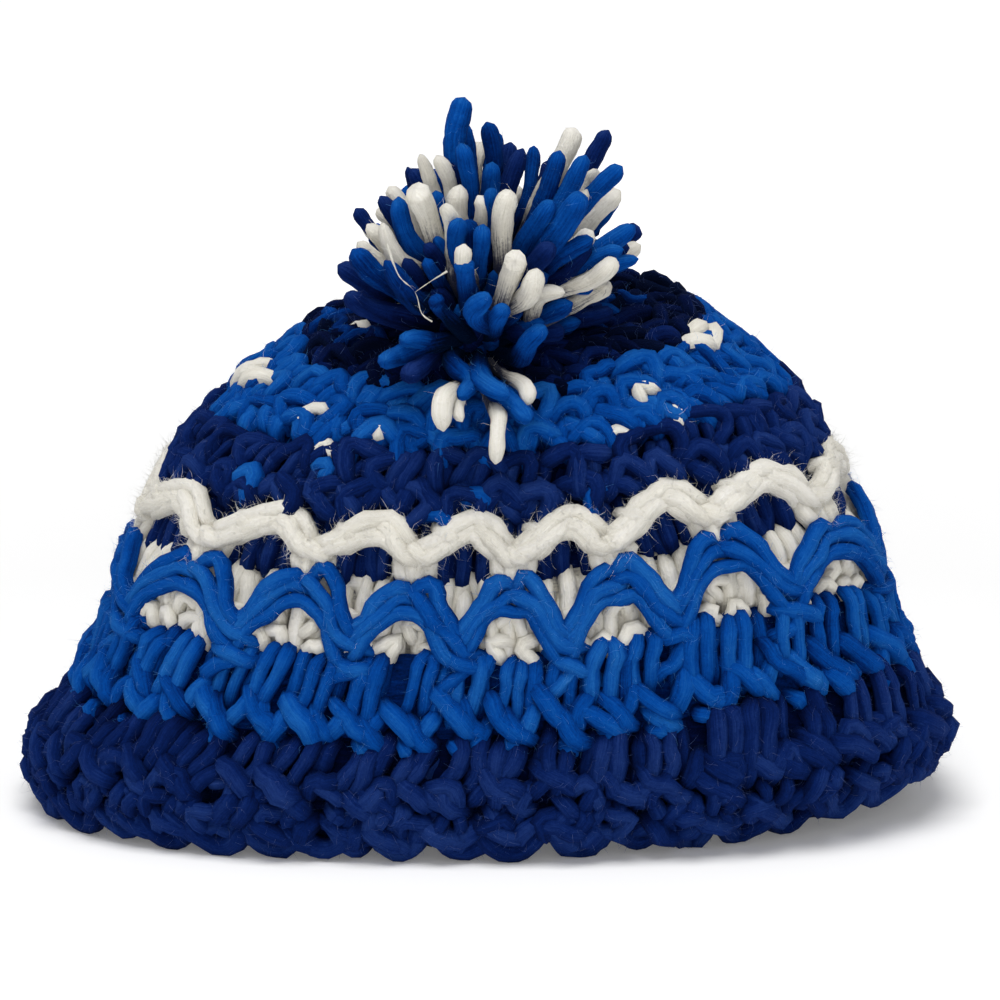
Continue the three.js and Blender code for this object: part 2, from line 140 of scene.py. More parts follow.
@dataclass
class HatForm:
    """The hat's outer form: a point for each share of the way round and each level.

    A share of 0 is the middle of the front, 0.25 the right side and 0.5 the back.
    """

    levels: tuple[Level, ...] = HAT_LEVELS
    section_power: float = 2.5
    rise_span: float = 0.6
    turn_level: float = 5.5
    zigzag_repeats: int = 16
    zigzag_crowding: float = 0.35
    turn_samples: int = 1441
    table: np.ndarray = field(init=False)
    slopes: np.ndarray = field(init=False)
    turn_angles: np.ndarray = field(init=False)
    turn_shares: np.ndarray = field(init=False)

    def __post_init__(self) -> None:
        """Works out the column slopes and the angle for each share of the way round."""
        self.table = np.array([list(vars(level).values()) for level in self.levels], float)
        steps = np.diff(self.table, axis=0)
        product = steps[:-1] * steps[1:]
        total = steps[:-1] + steps[1:]
        inner = np.where(product > 0, 2 * product / np.where(total == 0, 1, total), 0)
        self.slopes = np.vstack([steps[:1], inner, steps[-1:]])
        self.turn_angles = np.linspace(-math.pi / 2, 1.5 * math.pi, self.turn_samples)
        ring = self.at_angle(self.turn_angles, np.full(self.turn_samples, self.turn_level))
        lengths = np.linalg.norm(np.diff(ring, axis=0), axis=1)
        self.turn_shares = np.concatenate([[0], np.cumsum(lengths)]) / lengths.sum()

    def row(self, level: np.ndarray) -> list[np.ndarray]:
        """Smooth values of every column of the level table.

        Args:
            level: levels, of any shape.

        Returns:
            One array per column, of the same shape.
        """
        last = len(self.levels) - 1
        i = np.clip(np.floor(level).astype(int), 0, last - 1)
        f = (level - i)[..., None]
        low, high = self.table[i], self.table[i + 1]
        rise = f * f * (3 - 2 * f)
        values = low + rise * (high - low) + f * (1 - f) ** 2 * self.slopes[i]
        values = values - f * f * (1 - f) * self.slopes[i + 1]
        return list(np.moveaxis(values, -1, 0))

    def at_angle(self, angle: np.ndarray, level: np.ndarray) -> np.ndarray:
        """Points of the form for section angles and levels.

        Args:
            angle: angles round the section, 0 at the right side.
            level: levels, of the same shape.

        Returns:
            Points in millimetres, one more axis than the inputs.
        """
        z_front, z_back, y_front, y_back, half_width, shift_x, left, right, rise_from, tuck = self.row(level)
        cos, sin = np.cos(angle), np.sin(angle)
        ex = np.sign(cos) * np.abs(cos) ** (2 / self.section_power)
        ey = np.sign(sin) * np.abs(sin) ** (2 / self.section_power)
        tucked = tuck * smoothstep(0.05, 0.45, ex) * smoothstep(0, 0.6, -ey)
        x = shift_x + half_width * ex
        y = (y_front + y_back) / 2 + (y_back - y_front) / 2 * ey + tucked
        z = z_front + (z_back - z_front) * (1 + ey) / 2
        z = z + right * smoothstep(rise_from, rise_from + self.rise_span, ex)
        z = z + left * smoothstep(0.3, 1, -ex)
        return np.stack([x, y, z], -1)

    def point(self, share: np.ndarray, level: np.ndarray) -> np.ndarray:
        """Points of the form for shares of the way round and levels."""
        angle = np.interp(np.mod(share, 1.0), self.turn_shares, self.turn_angles)
        return self.at_angle(angle, np.clip(level, 0, len(self.levels) - 1.001))

    def outward(self, share: np.ndarray, level: np.ndarray) -> np.ndarray:
        """Outward directions of the form, level at the rim edge.

        Args:
            share: shares of the way round.
            level: levels.

        Returns:
            Unit directions, one more axis than the inputs.
        """
        level = np.clip(level, 0.02, len(self.levels) - 1.03)
        up = self.point(share, level + 0.02) - self.point(share, level - 0.02)
        along = self.point(share + 0.002, level) - self.point(share - 0.002, level)
        normal = np.cross(along, up)
        normal[..., 2] *= smoothstep(0, 1, level)
        return normal / np.linalg.norm(normal, axis=-1, keepdims=True)

    def raised(self, share: np.ndarray, level: np.ndarray, out: np.ndarray) -> np.ndarray:
        """Points that stand off the form.

        Args:
            share: shares of the way round.
            level: levels.
            out: millimetres outwards.

        Returns:
            Points in millimetres, one more axis than the inputs.
        """
        share, level, out = np.broadcast_arrays(share, level, out)
        return self.point(share, level) + self.outward(share, level) * out[..., None]

    def scales(self, share: float, level: float) -> tuple[float, float]:
        """Local size of the form.

        Args:
            share: share of the way round.
            level: level.

        Returns:
            Millimetres for the whole way round, and millimetres for one level.
        """
        level = min(max(level, 0.1), len(self.levels) - 1.2)
        shares = np.array([share - 0.005, share + 0.005, share, share])
        levels = np.array([level, level, level - 0.05, level + 0.05])
        left, right, below, above = self.point(shares, levels)
        return float(np.linalg.norm(right - left)) / 0.01, float(np.linalg.norm(above - below)) / 0.1

    def share_at(self, turn: np.ndarray, phase: float) -> np.ndarray:
        """Share of the way round at a zigzag turn; repeats crowd at the front and the back.

        Args:
            turn: turns of the zigzag.
            phase: turns between the middle of the front and the first turn.

        Returns:
            Shares of the way round.
        """
        share = (turn - phase) / self.zigzag_repeats
        for _ in range(12):
            reached = self.zigzag_repeats * share + self.zigzag_crowding * np.sin(4 * math.pi * share) + phase
            share = share - (reached - turn) / self.zigzag_repeats
        return share


@dataclass
class StrandSet:
    """Strands of yarn, and plain wall behind them, that become one piece."""

    paths: list[np.ndarray] = field(default_factory=list)
    radii: list[np.ndarray] = field(default_factory=list)
    tints: list[int] = field(default_factory=list)
    shades: list[np.ndarray] = field(default_factory=list)
    fuzz: list[float] = field(default_factory=list)
    pitches: list[float] = field(default_factory=list)
    walls: list[tuple[np.ndarray, int]] = field(default_factory=list)

    def add(self, path: np.ndarray, radius: np.ndarray | float, yarn: Yarn, shade: np.ndarray | float = 0.5,
            fuzz: float = 1.0, pitch: float = 1.0) -> None:
        """Adds one strand.

        Args:
            path: control points in millimetres.
            radius: strand radius at each point in millimetres.
            yarn: the strand's yarn.
            shade: 0 for a darker strand, 1 for a lighter one, below 0 for painted shade deep in the fabric.
            fuzz: how many stray fibres it has.
            pitch: length of its segments, as a share of the piece's step.
        """
        self.paths.append(np.asarray(path, float))
        self.radii.append(np.broadcast_to(np.asarray(radius, float), (len(path),)))
        self.tints.append(yarn.value)
        self.shades.append(np.broadcast_to(np.asarray(shade, float), (len(path),)))
        self.fuzz.append(float(fuzz))
        self.pitches.append(float(pitch))

    def add_wall(self, grid: np.ndarray, yarn: Yarn) -> None:
        """Adds a closed ring of wall: columns round the hat, each a closed section of points."""
        self.walls.append((np.asarray(grid, float), yarn.value))

    def wire_mesh(self, name: str) -> bpy.types.Mesh:
        """Makes the mesh that the yarn tree sweeps: edges for strands, faces for walls.

        Args:
            name: the mesh's name.

        Returns:
            A mesh in metres with the attributes thickness, tint, shade, fuzz and pitch.
        """
        points, edges, faces = [], [], []
        thickness, tint, shade, fuzz, pitch = [], [], [], [], []
        start = 0
        strands = zip(self.paths, self.radii, self.tints, self.shades, self.fuzz, self.pitches)
        for path, radius, hue, light, hairs, stride in strands:
            count = len(path)
            points.append(path)
            edges.append(np.stack([np.arange(count - 1), np.arange(1, count)], 1) + start)
            thickness.append(radius)
            tint.append(np.full(count, hue))
            shade.append(light)
            fuzz.append(np.full(count, hairs))
            pitch.append(np.full(count, stride))
            start += count
        for grid, hue in self.walls:
            columns, size = grid.shape[:2]
            points.append(grid.reshape(-1, 3))
            here = np.arange(columns * size).reshape(columns, size)
            there = np.roll(here, -1, 0)
            quads = np.stack([here, there, np.roll(there, -1, 1), np.roll(here, -1, 1)], -1)
            faces.append(quads.reshape(-1, 4) + start)
            thickness.append(np.zeros(columns * size))
            tint.append(np.full(columns * size, hue))
            # Walls show only in the gaps between stitches; their low shade and missing facing value paint
            # them darker there: painted shade.
            shade.append(np.full(columns * size, 0.0))
            fuzz.append(np.zeros(columns * size))
            pitch.append(np.ones(columns * size))
            start += columns * size
        mesh = bpy.data.meshes.new(name)
        all_edges = np.concatenate(edges).tolist() if edges else []
        all_faces = np.concatenate(faces).tolist() if faces else []
        mesh.from_pydata((np.concatenate(points) * MM).tolist(), all_edges, all_faces)
        for label, kind, values in (
            ("thickness", "FLOAT", np.concatenate(thickness) * MM),
            ("tint", "INT", np.concatenate(tint)),
            ("shade", "FLOAT", np.concatenate(shade)),
            ("fuzz", "FLOAT", np.concatenate(fuzz)),
            ("pitch", "FLOAT", np.concatenate(pitch)),
        ):
            mesh.attributes.new(label, kind, "POINT").data.foreach_set("value", values)
        return mesh


@dataclass(frozen=True)
class YarnFinish:
    """Thick-and-thin roving yarn, softly spun and unplied: matte, with lengthwise fibres and a pale bloom."""

    name: str
    painted_shadow: str
    deep: str
    body: str
    lit: str
    stray: str
    sheen: float = 0.12
    specular: float = 0.03
    fibre_mm: float = 0.45
    streak_mm: float = 9.0

    def material(self) -> bpy.types.Material:
        """Builds the yarn's material on the strand's own coordinates.

        Returns:
            A material whose fibres run along each strand.
        """
        made = bpy.data.materials.new(self.name)
        made.use_nodes = True
        tree = made.node_tree
        tree.nodes.clear()
        # The strand coordinate holds metres along the strand and its unit circle, so fibres stretch along it.
        strand = add_node(tree, "ShaderNodeAttribute", {"attribute_name": "yarn_coord"})
        shade = add_node(tree, "ShaderNodeAttribute", {"attribute_name": "shade"})
        facing_for_painted_shade = add_node(tree, "ShaderNodeAttribute", {"attribute_name": "facing_for_painted_shade"})
        facing_for_painted_shade = add_node(tree, "ShaderNodeMath", {"operation": "ABSOLUTE"}, {0: facing_for_painted_shade.outputs["Fac"]})
        strand_radius_mm = 2.6
        round_scale = strand_radius_mm / self.fibre_mm
        fibres_at = add_node(tree, "ShaderNodeVectorMath", {
            "operation": "MULTIPLY", 1: (1000 / self.streak_mm, round_scale, round_scale),
        }, {0: strand.outputs["Vector"]})
        fibres = add_node(tree, "ShaderNodeTexNoise", {"Scale": 1.0, "Detail": 5.0, "Roughness": 0.75},
                          {"Vector": fibres_at.outputs[0]})
        where = add_node(tree, "ShaderNodeTexCoord")
        # Patches of thicker and thinner spinning, about 7 mm across.
        patches = add_node(tree, "ShaderNodeTexNoise", {"Scale": 140.0, "Detail": 2.0},
                           {"Vector": where.outputs["Object"]})
        # The felted nap, about half a millimetre.
        nap = add_node(tree, "ShaderNodeTexNoise", {"Scale": 1500.0, "Detail": 3.0, "Roughness": 0.7},
                       {"Vector": where.outputs["Object"]})
        light = add_node(tree, "ShaderNodeMath", {"operation": "MULTIPLY_ADD", 1: 0.85, 2: -0.53},
                         {0: fibres.outputs["Fac"]})
        # Painted light and shade: ridges of strands that face away from the hat are painted paler and their
        # flanks darker.
        light = add_node(tree, "ShaderNodeMath", {"operation": "MULTIPLY_ADD", 1: 0.3},
                         {0: facing_for_painted_shade.outputs[0], 2: light.outputs[0]})
        light = add_node(tree, "ShaderNodeMath", {"operation": "MULTIPLY_ADD", 1: 0.3},
                         {0: nap.outputs["Fac"], 2: light.outputs[0]})
        light = add_node(tree, "ShaderNodeMath", {"operation": "MULTIPLY_ADD", 1: 0.3},
                         {0: patches.outputs["Fac"], 2: light.outputs[0]})
        light = add_node(tree, "ShaderNodeMath", {"operation": "MULTIPLY_ADD", 1: 0.3, "use_clamp": True},
                         {0: shade.outputs["Fac"], 2: light.outputs[0]})
        # The ramp's first stop is painted shadow, dark navy even for ivory; deep, body and lit run from
        # darker to lighter yarn tone and also carry the painted shade of flanks and the painted highlight of
        # ridges; the last stop is the painted highlight of stray fibres.
        ramp = add_node(tree, "ShaderNodeValToRGB", None, {"Fac": light.outputs[0]})
        stops = ramp.color_ramp.elements
        stops[0].color = linear(self.painted_shadow)
        stops[1].color = linear(self.stray)
        stops.new(0.85).color = linear(self.lit)
        stops.new(0.25).color = linear(self.deep)
        stops.new(0.55).color = linear(self.body)
        relief = add_node(tree, "ShaderNodeMath", {"operation": "ADD"},
                          {0: fibres.outputs["Fac"], 1: nap.outputs["Fac"]})
        bump = add_node(tree, "ShaderNodeBump", {"Strength": 0.9, "Distance": 0.0006},
                        {"Height": relief.outputs[0]})
        surface = add_node(tree, "ShaderNodeBsdfPrincipled", {
            "Roughness": 0.9, "Specular IOR Level": self.specular, "Sheen Weight": self.sheen,
            "Sheen Roughness": 0.5, "Sheen Tint": linear(self.lit),
        }, {"Base Color": ramp.outputs["Color"], "Normal": bump.outputs["Normal"]})
        add_node(tree, "ShaderNodeOutputMaterial", None, {"Surface": surface.outputs["BSDF"]})
        return made


YARN_FINISHES = {
    Yarn.NAVY: YarnFinish("navy_roving_yarn", "#000518", "#020c32", "#08205a", "#203a78", "#566699",
                          sheen=0.3),
    Yarn.ROYAL: YarnFinish("royal_roving_yarn", "#00081f", "#012464", "#04489e", "#1d66b6", "#5a93d6"),
    Yarn.IVORY: YarnFinish("ivory_roving_yarn", "#232a48", "#d2cdbf", "#efebdf", "#faf7f0", "#fdfbf6",
                           specular=0.1),
}


class YarnSweep:
    """The tree that turns paths into lumpy strands of yarn with stray fibres."""

    INPUTS = (
        ("Step", "NodeSocketFloat"),
        ("Sides", "NodeSocketInt"),
        ("Lumpiness", "NodeSocketFloat"),
        ("Fibre Density", "NodeSocketFloat"),
        ("Fibre Length", "NodeSocketFloat"),
        ("Seed", "NodeSocketInt"),
        ("Navy Yarn", "NodeSocketMaterial"),
        ("Royal Yarn", "NodeSocketMaterial"),
        ("Ivory Yarn", "NodeSocketMaterial"),
    )

    MIDDLE = (0.002, -0.004, 0.05)
    SPREAD = (0.6, 1.2, 1.0)

    def __init__(self) -> None:
        """Builds the tree and the three yarn materials."""
        self.materials = {yarn: finish.material() for yarn, finish in YARN_FINISHES.items()}
        self.tree = bpy.data.node_groups.new("yarn_sweep", "GeometryNodeTree")
        self.tree.is_modifier = True
        face = self.tree.interface
        face.new_socket("Geometry", in_out="INPUT", socket_type="NodeSocketGeometry")
        self.sockets = {
            name: face.new_socket(name, in_out="INPUT", socket_type=kind).identifier
            for name, kind in self.INPUTS
        }
        face.new_socket("Geometry", in_out="OUTPUT", socket_type="NodeSocketGeometry")
        self.build()

    def named(self, name: str, kind: str = "FLOAT") -> bpy.types.NodeSocket:
        """Reads a named attribute of the geometry."""
        return add_node(self.tree, "GeometryNodeInputNamedAttribute",
                        {"data_type": kind, "Name": name}).outputs[0]

    def build(self) -> None:
        """Adds the nodes: sweep, lumps, wall, fibres and materials."""
        tree = self.tree
        given = add_node(tree, "NodeGroupInput").outputs
        is_strand = add_node(tree, "FunctionNodeCompare", {"operation": "GREATER_THAN", 1: 0.0},
                             {0: self.named("thickness")}).outputs[0]
        parts = add_node(tree, "GeometryNodeSeparateGeometry", {"domain": "POINT"},
                         {"Geometry": given["Geometry"], "Selection": is_strand})
        strands = self.sweep(parts.outputs["Selection"], given)
        place = add_node(tree, "GeometryNodeInputPosition").outputs[0]
        wall_coord = add_node(tree, "ShaderNodeVectorMath", {"operation": "MULTIPLY", 1: (1.0, 150.0, 150.0)},
                              {0: place}).outputs[0]
        wall = add_node(tree, "GeometryNodeStoreNamedAttribute",
                        {"data_type": "FLOAT_VECTOR", "Name": "yarn_coord"},
                        {"Geometry": parts.outputs["Inverted"], "Value": wall_coord})
        fibres = self.fibres(strands, given)
        joined = add_node(tree, "GeometryNodeJoinGeometry")
        for source in (fibres, wall.outputs[0], strands):
            tree.links.new(source, joined.inputs[0])
        # The hat rests on its rim: yarn that would sink into the ground is pressed flat on it.
        apart = add_node(tree, "ShaderNodeSeparateXYZ", None, {0: place})
        height = add_node(tree, "ShaderNodeMath", {"operation": "MAXIMUM", 1: 0.0}, {0: apart.outputs["Z"]})
        pressed = add_node(tree, "ShaderNodeCombineXYZ", None, {
            "X": apart.outputs["X"], "Y": apart.outputs["Y"], "Z": height.outputs[0],
        })
        shape = add_node(tree, "GeometryNodeSetPosition", None,
                         {"Geometry": joined.outputs[0], "Position": pressed.outputs[0]})
        shape = add_node(tree, "GeometryNodeSetShadeSmooth", None, {"Geometry": shape.outputs[0]})
        shape = add_node(tree, "GeometryNodeRealizeInstances", None, {"Geometry": shape.outputs[0]})
        for yarn, socket in zip(Yarn, ("Navy Yarn", "Royal Yarn", "Ivory Yarn")):
            chosen = add_node(tree, "FunctionNodeCompare",
                              {"data_type": "INT", "operation": "EQUAL", 3: yarn.value},
                              {2: self.named("tint", "INT")}).outputs[0]
            shape = add_node(tree, "GeometryNodeSetMaterial", None, {
                "Geometry": shape.outputs[0], "Selection": chosen, "Material": given[socket],
            })
        add_node(tree, "NodeGroupOutput", None, {0: shape.outputs[0]})

    def sweep(self, wires: bpy.types.NodeSocket, given: Any) -> bpy.types.NodeSocket:
        """Sweeps a lumpy round section along the wires.

        Args:
            wires: edges with a thickness.
            given: the tree's inputs.

        Returns:
            The strands' mesh, with the strand coordinate stored on it.
        """
        tree = self.tree
        curve = add_node(tree, "GeometryNodeMeshToCurve", None, {"Mesh": wires})
        curve = add_node(tree, "GeometryNodeCurveSplineType", {"spline_type": "CATMULL_ROM"},
                         {"Curve": curve.outputs[0]})
        stride = add_node(tree, "ShaderNodeMath", {"operation": "MULTIPLY"},
                          {0: given["Step"], 1: self.named("pitch")})
        curve = add_node(tree, "GeometryNodeResampleCurve", {"mode": "LENGTH"},
                         {"Curve": curve.outputs[0], "Length": stride.outputs[0]})
        along = add_node(tree, "GeometryNodeSplineParameter").outputs["Length"]
        curve = add_node(tree, "GeometryNodeStoreNamedAttribute", {"Name": "along"},
                         {"Geometry": curve.outputs[0], "Value": along})
        section = add_node(tree, "GeometryNodeCurvePrimitiveCircle", {"Radius": 1.0},
                           {"Resolution": given["Sides"]})
        place = add_node(tree, "GeometryNodeInputPosition").outputs[0]
        section = add_node(tree, "GeometryNodeStoreNamedAttribute",
                           {"data_type": "FLOAT_VECTOR", "Name": "around"},
                           {"Geometry": section.outputs[0], "Value": place})
        mesh = add_node(tree, "GeometryNodeCurveToMesh", {"Fill Caps": True}, {
            "Curve": curve.outputs[0], "Profile Curve": section.outputs[0], "Scale": self.named("thickness"),
        })
        round_at = add_node(tree, "ShaderNodeSeparateXYZ", None, {0: self.named("around", "FLOAT_VECTOR")})
        coord = add_node(tree, "ShaderNodeCombineXYZ", None, {
            "X": self.named("along"), "Y": round_at.outputs["X"], "Z": round_at.outputs["Y"],
        })
        mesh = add_node(tree, "GeometryNodeStoreNamedAttribute",
                        {"data_type": "FLOAT_VECTOR", "Name": "yarn_coord"},
                        {"Geometry": mesh.outputs[0], "Value": coord.outputs[0]})
        # Hand-spun lumps, about 4 mm long.
        lumps = add_node(tree, "ShaderNodeTexNoise", {"Scale": 250.0, "Detail": 3.0}, {"Vector": place})
        swell = add_node(tree, "ShaderNodeMath", {"operation": "SUBTRACT", 1: 0.5}, {0: lumps.outputs["Fac"]})
        swell = add_node(tree, "ShaderNodeMath", {"operation": "MULTIPLY"},
                         {0: swell.outputs[0], 1: given["Lumpiness"]})
        normal = add_node(tree, "GeometryNodeInputNormal").outputs[0]
        push = add_node(tree, "ShaderNodeVectorMath", {"operation": "SCALE"},
                        {0: normal, "Scale": swell.outputs[0]})
        mesh = add_node(tree, "GeometryNodeSetPosition", None,
                        {"Geometry": mesh.outputs[0], "Offset": push.outputs[0]})
        # How squarely the surface faces away from the hat: 1 on the ridge of a strand, 0 on its flanks; the
        # yarn colour uses it for painted shade, paler on ridges and darker on flanks.
        away = add_node(tree, "ShaderNodeVectorMath", {"operation": "SUBTRACT", 1: self.MIDDLE}, {0: place})
        away = add_node(tree, "ShaderNodeVectorMath", {"operation": "MULTIPLY", 1: self.SPREAD},
                        {0: away.outputs[0]})
        away = add_node(tree, "ShaderNodeVectorMath", {"operation": "MAXIMUM", 1: (-1.0, -1.0, 0.0)},
                        {0: away.outputs[0]})
        away = add_node(tree, "ShaderNodeVectorMath", {"operation": "NORMALIZE"}, {0: away.outputs[0]})
        facing_for_painted_shade = add_node(tree, "ShaderNodeVectorMath", {"operation": "DOT_PRODUCT"},
                         {0: normal, 1: away.outputs[0]})
        return add_node(tree, "GeometryNodeStoreNamedAttribute", {"Name": "facing_for_painted_shade"},
                        {"Geometry": mesh.outputs[0], "Value": facing_for_painted_shade.outputs["Value"]}).outputs[0]

    def fibres(self, strands: bpy.types.NodeSocket, given: Any) -> bpy.types.NodeSocket:
        """Scatters short bent stray fibres over the strands.

        Args:
            strands: the strands' mesh.
            given: the tree's inputs.

        Returns:
            The fibres as instances.
        """
        tree = self.tree
        density = add_node(tree, "ShaderNodeMath", {"operation": "MULTIPLY"},
                           {0: given["Fibre Density"], 1: self.named("fuzz")})
        # Only the ridges of strands, which face away from the hat, are fuzzy.
        facing = add_node(tree, "ShaderNodeMapRange", {"From Min": 0.1, "From Max": 0.5},
                          {"Value": self.named("facing_for_painted_shade")})
        density = add_node(tree, "ShaderNodeMath", {"operation": "MULTIPLY"},
                           {0: density.outputs[0], 1: facing.outputs[0]})
        spots = add_node(tree, "GeometryNodeDistributePointsOnFaces", None,
                         {"Mesh": strands, "Density": density.outputs[0], "Seed": given["Seed"]})
        # Stray fibres catch the light, so they are paler than their strand.
        pale = add_node(tree, "GeometryNodeStoreNamedAttribute", {"Name": "shade", "Value": 3.0},
                        {"Geometry": spots.outputs["Points"]})
        # Real fibres are far thinner; this is as fine as shows in a render.
        fibre = add_node(tree, "GeometryNodeMeshCone", {
            "fill_type": "NGON", "Vertices": 3, "Side Segments": 2,
            "Radius Top": 0.0, "Radius Bottom": 0.012, "Depth": 1.0,
        })
        place = add_node(tree, "GeometryNodeInputPosition").outputs[0]
        height = add_node(tree, "ShaderNodeSeparateXYZ", None, {0: place}).outputs["Z"]
        curl = add_node(tree, "ShaderNodeMath", {"operation": "MULTIPLY"}, {0: height, 1: height})
        bend = add_node(tree, "ShaderNodeVectorMath", {"operation": "SCALE", 0: (0.9, 0.25, -0.55)},
                        {"Scale": curl.outputs[0]})
        fibre = add_node(tree, "GeometryNodeSetPosition", None,
                         {"Geometry": fibre.outputs[0], "Offset": bend.outputs[0]})
        turn = add_node(tree, "FunctionNodeAlignRotationToVector", {"axis": "Z"},
                        {"Vector": spots.outputs["Normal"]})
        spin = add_node(tree, "FunctionNodeRandomValue", {
            "data_type": "FLOAT_VECTOR", 0: (-0.9, -0.9, 0.0), 1: (0.9, 0.9, 2 * math.pi),
        }, {"Seed": given["Seed"]})
        to_turn = add_node(tree, "FunctionNodeEulerToRotation", None, {0: spin.outputs[0]})
        turn = add_node(tree, "FunctionNodeRotateRotation", {"rotation_space": "LOCAL"},
                        {"Rotation": turn.outputs[0], "Rotate By": to_turn.outputs[0]})
        size = add_node(tree, "FunctionNodeRandomValue", {"data_type": "FLOAT", 2: 0.5, 3: 1.4},
                        {"Seed": given["Seed"]})
        size = add_node(tree, "ShaderNodeMath", {"operation": "MULTIPLY"},
                        {0: size.outputs[1], 1: given["Fibre Length"]})
        placed = add_node(tree, "GeometryNodeInstanceOnPoints", None, {
            "Points": pale.outputs[0], "Instance": fibre.outputs[0],
            "Rotation": turn.outputs[0], "Scale": size.outputs[0],
        })
        return add_node(tree, "GeometryNodeRealizeInstances", None,
                        {"Geometry": placed.outputs[0]}).outputs[0]

    def make(self, name: str, strands: StrandSet, slot: str, nodes: tuple[str, ...],
             fibre_density: float = 80000.0, fibre_mm: float = 3.2, step_mm: float = 1.8, sides: int = 7,
             lump_mm: float = 1.9, seed: int = 1) -> bpy.types.Object:
        """Makes one piece of the hat from its strands.

        Args:
            name: the piece's name.
            strands: the strands and walls it is made of.
            slot: not used.
            nodes: the CAD nodes it stands for.
            fibre_density: stray fibres per square metre of yarn.
            fibre_mm: usual length of a stray fibre.
            step_mm: length of one segment of a strand.
            sides: sides of a strand's section.
            lump_mm: how far the lumps of the spinning reach.
            seed: seed of the stray fibres.

        Returns:
            The finished piece, riding on the hat's body.
        """
        piece = bpy.data.objects.new(name, strands.wire_mesh(name))
        bpy.context.scene.collection.objects.link(piece)
        modifier = piece.modifiers.new("yarn_sweep", "NODES")
        modifier.node_group = self.tree
        values = {
            "Step": step_mm * MM, "Sides": sides, "Lumpiness": lump_mm * MM, "Fibre Density": fibre_density,
            "Fibre Length": fibre_mm * MM, "Seed": seed, "Navy Yarn": self.materials[Yarn.NAVY],
            "Royal Yarn": self.materials[Yarn.ROYAL], "Ivory Yarn": self.materials[Yarn.IVORY],
        }
        for label, value in values.items():
            modifier[self.sockets[label]] = value
        graph = bpy.context.evaluated_depsgraph_get()
        mesh = bpy.data.meshes.new_from_object(piece.evaluated_get(graph), preserve_all_data_layers=True,
                                               depsgraph=graph)
        piece.modifiers.remove(modifier)
        wires = piece.data
        piece.data = mesh
        bpy.data.meshes.remove(wires)
        mesh.name = name
        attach(piece, BODY)
        if nodes:
            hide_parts(*nodes)
        log.info("%s: %d strands, %d faces", name, len(strands.paths), len(mesh.polygons))
        return piece


@dataclass(frozen=True)
class StitchPoint:
    """A control point of a stitch: along in stitches, up in rounds, out in millimetres, thick as a share."""

    along: float
    up: float
    out: float
    thick: float = 1.0


Strand = tuple[StitchPoint, ...]

# The two upright legs of a half treble stitch, leaning to the right at the top.
POST_LEGS: Strand = (
    StitchPoint(0.00, 0.20, -4.5, 0.8),
    StitchPoint(0.07, 0.40, -0.6),
    StitchPoint(0.17, 0.68, 0.5, 1.05),
    StitchPoint(0.25, 0.88, 1.0, 1.12),
    StitchPoint(0.32, 1.00, -0.8),
    StitchPoint(0.45, 1.05, -3.6, 0.85),
    StitchPoint(0.60, 1.00, -0.8),
    StitchPoint(0.59, 0.86, 1.0, 1.12),
    StitchPoint(0.51, 0.64, 0.5, 1.05),
    StitchPoint(0.42, 0.38, -0.6),
    StitchPoint(0.35, 0.18, -4.5, 0.8),
)
# The strand that wraps over the foot of the legs.
FOOT_OVER: Strand = (
    StitchPoint(-0.22, 0.58, -4.0, 0.8),
    StitchPoint(-0.10, 0.49, 0.1),
    StitchPoint(0.10, 0.37, 1.1, 1.1),
    StitchPoint(0.32, 0.25, 1.3, 1.15),
    StitchPoint(0.52, 0.14, 0.5),
    StitchPoint(0.66, 0.08, -3.5, 0.8),
)
# The shorter strand under it.
FOOT_UNDER: Strand = (
    StitchPoint(0.18, 0.44, -4.0, 0.8),
    StitchPoint(0.30, 0.33, 0.1),
    StitchPoint(0.48, 0.18, 0.8, 1.1),
    StitchPoint(0.66, 0.06, 0.5, 1.05),
    StitchPoint(0.82, -0.02, -3.5, 0.8),
)
# The strand that leans back to the next stitch.
FOOT_BACK: Strand = (
    StitchPoint(0.60, 0.00, -4.0, 0.8),
    StitchPoint(0.68, 0.12, -0.2),
    StitchPoint(0.80, 0.26, 0.4, 1.1),
    StitchPoint(0.92, 0.39, 0.0),
    StitchPoint(1.02, 0.48, -3.5, 0.8),
)
# The tip of a loop that pokes out between the stitches of the round below.
LOOP_TIP: Strand = (
    StitchPoint(0.22, 0.06, -4.0, 0.8),
    StitchPoint(0.30, -0.03, -0.2, 0.95),
    StitchPoint(0.38, -0.09, 0.5, 1.05),
    StitchPoint(0.45, -0.14, -0.8, 0.95),
    StitchPoint(0.50, -0.17, -4.5, 0.7),
)
# The leg that shows, deeper, in the slit between two pairs of legs.
BETWEEN_LEG: Strand = (
    StitchPoint(0.66, 0.28, -5.0, 0.8),
    StitchPoint(0.71, 0.46, -2.2),
    StitchPoint(0.80, 0.70, -1.6, 1.05),
    StitchPoint(0.88, 0.92, -1.6),
    StitchPoint(0.92, 1.04, -4.5, 0.8),
)
# A plump upright post with a rounded tip.
FINGER: Strand = (
    StitchPoint(0.50, -0.08, -4.0, 0.8),
    StitchPoint(0.47, 0.06, -0.6, 0.95),
    StitchPoint(0.49, 0.35, 0.3, 1.05),
    StitchPoint(0.52, 0.66, 0.4, 1.05),
    StitchPoint(0.54, 0.90, -0.1),
    StitchPoint(0.56, 1.04, -2.6, 0.75),
)
# The scalloped edge of the rim.
EDGE_LOOP: Strand = (
    StitchPoint(0.00, 0.95, -4.0, 0.8),
    StitchPoint(0.10, 0.55, 0.4),
    StitchPoint(0.32, 0.18, 1.0, 1.15),
    StitchPoint(0.62, 0.14, 0.9, 1.15),
    StitchPoint(0.88, 0.45, 0.4),
    StitchPoint(1.02, 0.92, -4.0, 0.8),
)
